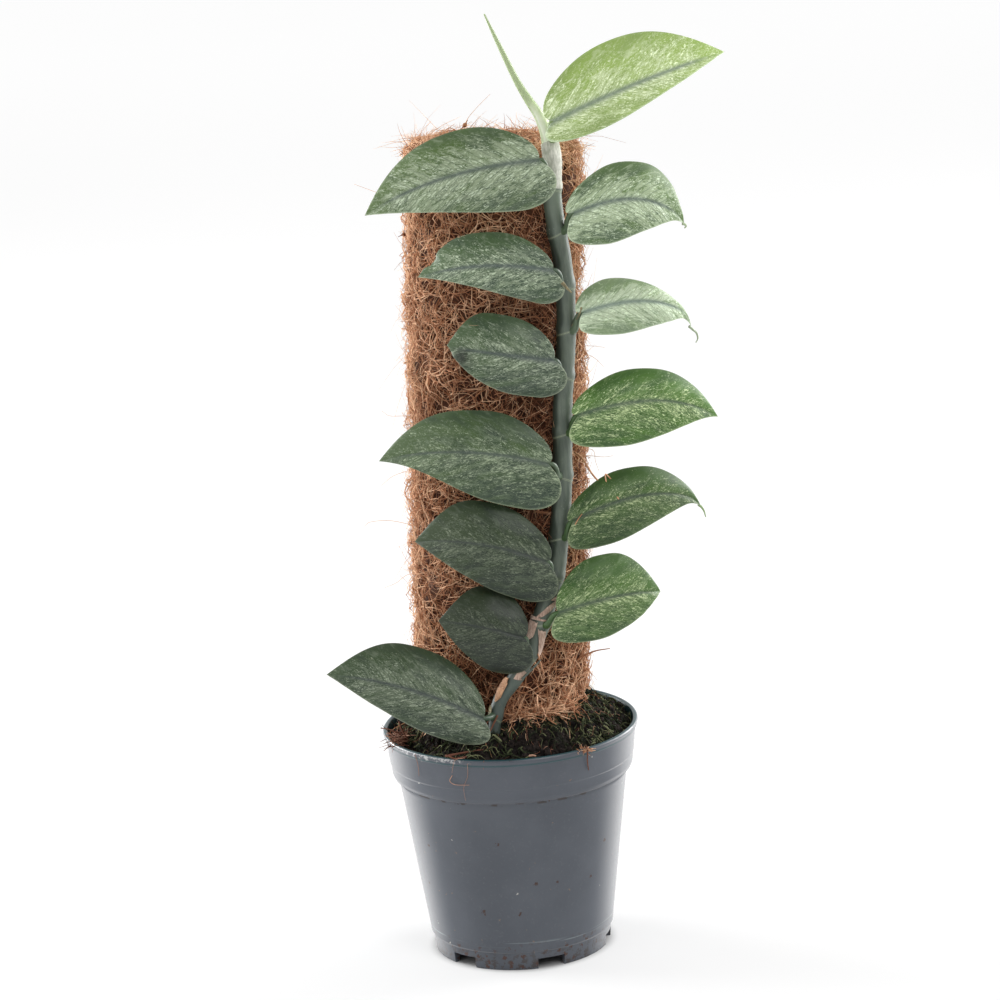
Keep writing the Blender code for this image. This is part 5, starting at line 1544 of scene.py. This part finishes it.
moss_green = coir_finish("moss", (0.008, 0.011, 0.006), (0.033, 0.042, 0.018), (0.175, 0.185, 0.095))
root_brown = coir_finish("root", (0.040, 0.014, 0.009), (0.170, 0.072, 0.046), (0.400, 0.230, 0.160))
moss = join([laid_strands(620, 62, (4.0, 13.0), (0.18, 0.60), 0.5, (0.2, 1.8), patch=71),
             laid_strands(620, 65, (4.0, 12.0), (0.12, 0.26), 0.8, (0.6, 3.0), patch=72)])
fine_roots = join([laid_strands(130, 63, (5.0, 14.0), (0.09, 0.20), 1.4, (0.3, 1.6)),
                   tuft(110, 66, (-52.0, -18.0, 109.0), (4.0, 9.0, 2.2), (5.0, 13.0), (0.14, 0.30))])
tuft_centres = ((6.0, -34.5, 119.0), (16.0, -31.5, 120.5), (25.0, -24.5, 121.5))
foot_fibres = join([
    laid_strands(170, 64, (8.0, 20.0), (0.14, 0.28), 0.7, (0.5, 3.0), around_pole=(38.5, 42.5)),
    *[tuft(75, 70 + index, centre, (7.0, 2.0, 6.0), (8.0, 21.0), (0.18, 0.40), 0.35)
      for index, centre in enumerate(tuft_centres)],
    tuft(34, 68, (33.0, -49.6, 108.2), (4.5, 1.0, 0.8), (3.0, 7.0), (0.10, 0.20), 0.8)])
loose_piece("moss_strands", moss, moss_green)
loose_piece("fine_roots", fine_roots, root_brown)
loose_piece("coir_foot_fibres", foot_fibres, fibre_brown)

# %% [markdown]
# A few strands are large enough to be seen one by one: long hairs of the mat, a dry root that crosses a
# leaf, a stick, twigs on the lip, and thin roots that hang down the collar.

# %% Single strands
# Each of these runs through its points in millimetres
HAIRS = (
    ((-30, 3, 356), (-40, 5, 360), (-47, 5, 363), (-56, 5, 367)),
    ((-6, 2, 380), (-3.8, 0, 392), (0.6, 0, 398), (8.3, 0, 405)),
    ((-29, -14, 298), (-33, -8, 294.5), (-37.6, -5, 290), (-42, -5, 286)),
    ((-35, 4, 257), (-40.3, 5, 257.5), (-47, 5, 258), (-50.3, 5, 260.5)),
    ((-36, 3, 232), (-41.6, 5, 231), (-47.7, 5, 229), (-53, 5, 225)),
    ((-37, 3, 205), (-49.6, 5, 208), (-59, 5, 208), (-62.3, 5, 206)),
    ((-38, 2, 183), (-44, 5, 181.4), (-49, 5, 178), (-54.5, 5, 176)),
    ((40, 3, 285), (43.6, 5, 285.3), (49, 5, 285), (54, 5, 284)),
    ((40, 3, 283), (44, 5, 282), (49, 5, 279.4), (53, 5, 275)),
    ((38, -6, 240), (45.6, -5, 238.3), (46.6, -5, 233), (48, -5, 228)),
    ((38, -6, 237), (46, -5, 235.4), (50.7, -5, 234.7), (55, -5, 235)),
)
# Radius at the start and at the end, tone, height of the knot in the middle, and the points
SINGLE_HAIRS = (
    (0.20, 0.15, 0.00, 1.1, ((-33, 5, 341), (-34.8, 5, 342.3), (-37.6, 5, 341.4))),
    (0.20, 0.15, 0.20, 0.9, ((-6.5, 2, 389), (-3.9, 0, 391.8), (-2.5, 0, 394))),
    (0.50, 0.35, 0.55, 0.0, ((37, -18, 241), (41, -24, 238), (44, -28, 233), (47.3, -30.8, 229.5),
                             (50.4, -31.5, 228.6), (55.5, -35.2, 221.9))),
    (0.35, 0.25, 0.60, 0.0, ((50.4, -31.5, 228.6), (50.2, -30.5, 232.8), (53, -30.2, 229.8))),
    (0.25, 0.15, 0.40, 0.0, ((34.9, -38.7, 212.1), (36.6, -38.7, 214.7), (38.4, -38.4, 216.9))),
    (0.60, 0.20, 0.25, 0.0, ((33, -8, 139), (36.3, -6, 140.3), (42, -5, 142), (48.6, -5, 142.7))),
    (0.35, 0.20, 0.50, 0.0, ((14.6, -39.8, 152.6), (15.7, -40.6, 148.2), (16.8, -40, 143.4))),
)
hairs = [single_strand(points, 0.16, 0.07, 0.7) for points in HAIRS]
hairs += [single_strand(points, *settings) for *settings, points in SINGLE_HAIRS]
loose_piece("coir_hairs", join(hairs), fibre_brown)

# Radius at the start, tone, and the points
POT_STRANDS = (
    (0.17, 0.95, ((-27.9, -51.6, 100.6), (-29.2, -50.8, 97.8), (-27.1, -51.9, 96.2),
                  (-22.6, -53.9, 96.3), (-20.4, -54.8, 96.5))),
    (0.10, 0.80, ((-20.6, -57.2, 107.5), (-20.9, -54.7, 100.7), (-23.0, -53.0, 94.8),
                  (-22.6, -53.2, 88.5))),
    (0.42, 0.25, ((34.2, -48.2, 109.4), (34.6, -50.2, 108.0), (34.3, -49.0, 103.0), (34.6, -47.4, 97.8))),
    (0.12, 0.85, ((-21.6, -56.5, 110.2), (-26.2, -54.5, 108.6), (-28.0, -52.4, 102.0))),
    (0.15, 0.60, ((-44.6, -41.0, 108.5), (-43.6, -39.8, 103.0), (-43.4, -39.6, 97.2))),
    (0.15, 0.60, ((-13.0, -58.6, 108.9), (-13.4, -57.2, 105.0), (-14.0, -56.4, 101.1))),
    (0.55, 0.30, ((-30.5, -51.5, 110.0), (-20.5, -49.5, 110.6), (-11.5, -46.5, 110.6))),
    (0.45, 0.35, ((-28.7, -52.5, 110.4), (-26.3, -53.5, 109.2), (-20.7, -53.0, 109.6))),
    (0.60, 0.90, ((7.7, -56.0, 109.0), (9.2, -56.2, 109.3), (10.9, -56.0, 108.9))),
    (0.45, 0.30, ((-51.4, -24.0, 119.2), (-50.2, -24.5, 115.0), (-47.4, -25.0, 110.0))),
    (0.30, 0.45, ((-60.4, -14.0, 113.6), (-56.0, -16.0, 113.2), (-51.0, -18.0, 111.0))),
    (0.50, 0.40, ((-5.5, -42.0, 125.0), (-7.5, -43.0, 121.5), (-10.0, -44.0, 117.0))),
    (0.50, 0.35, ((-8.0, -41.5, 125.0), (-11.0, -42.0, 121.0), (-13.5, -43.0, 116.5))),
)
strands = [single_strand(points, radius, 0.6 * radius, tone) for radius, tone, points in POT_STRANDS]
loose_piece("loose_roots", join(strands), root_brown)
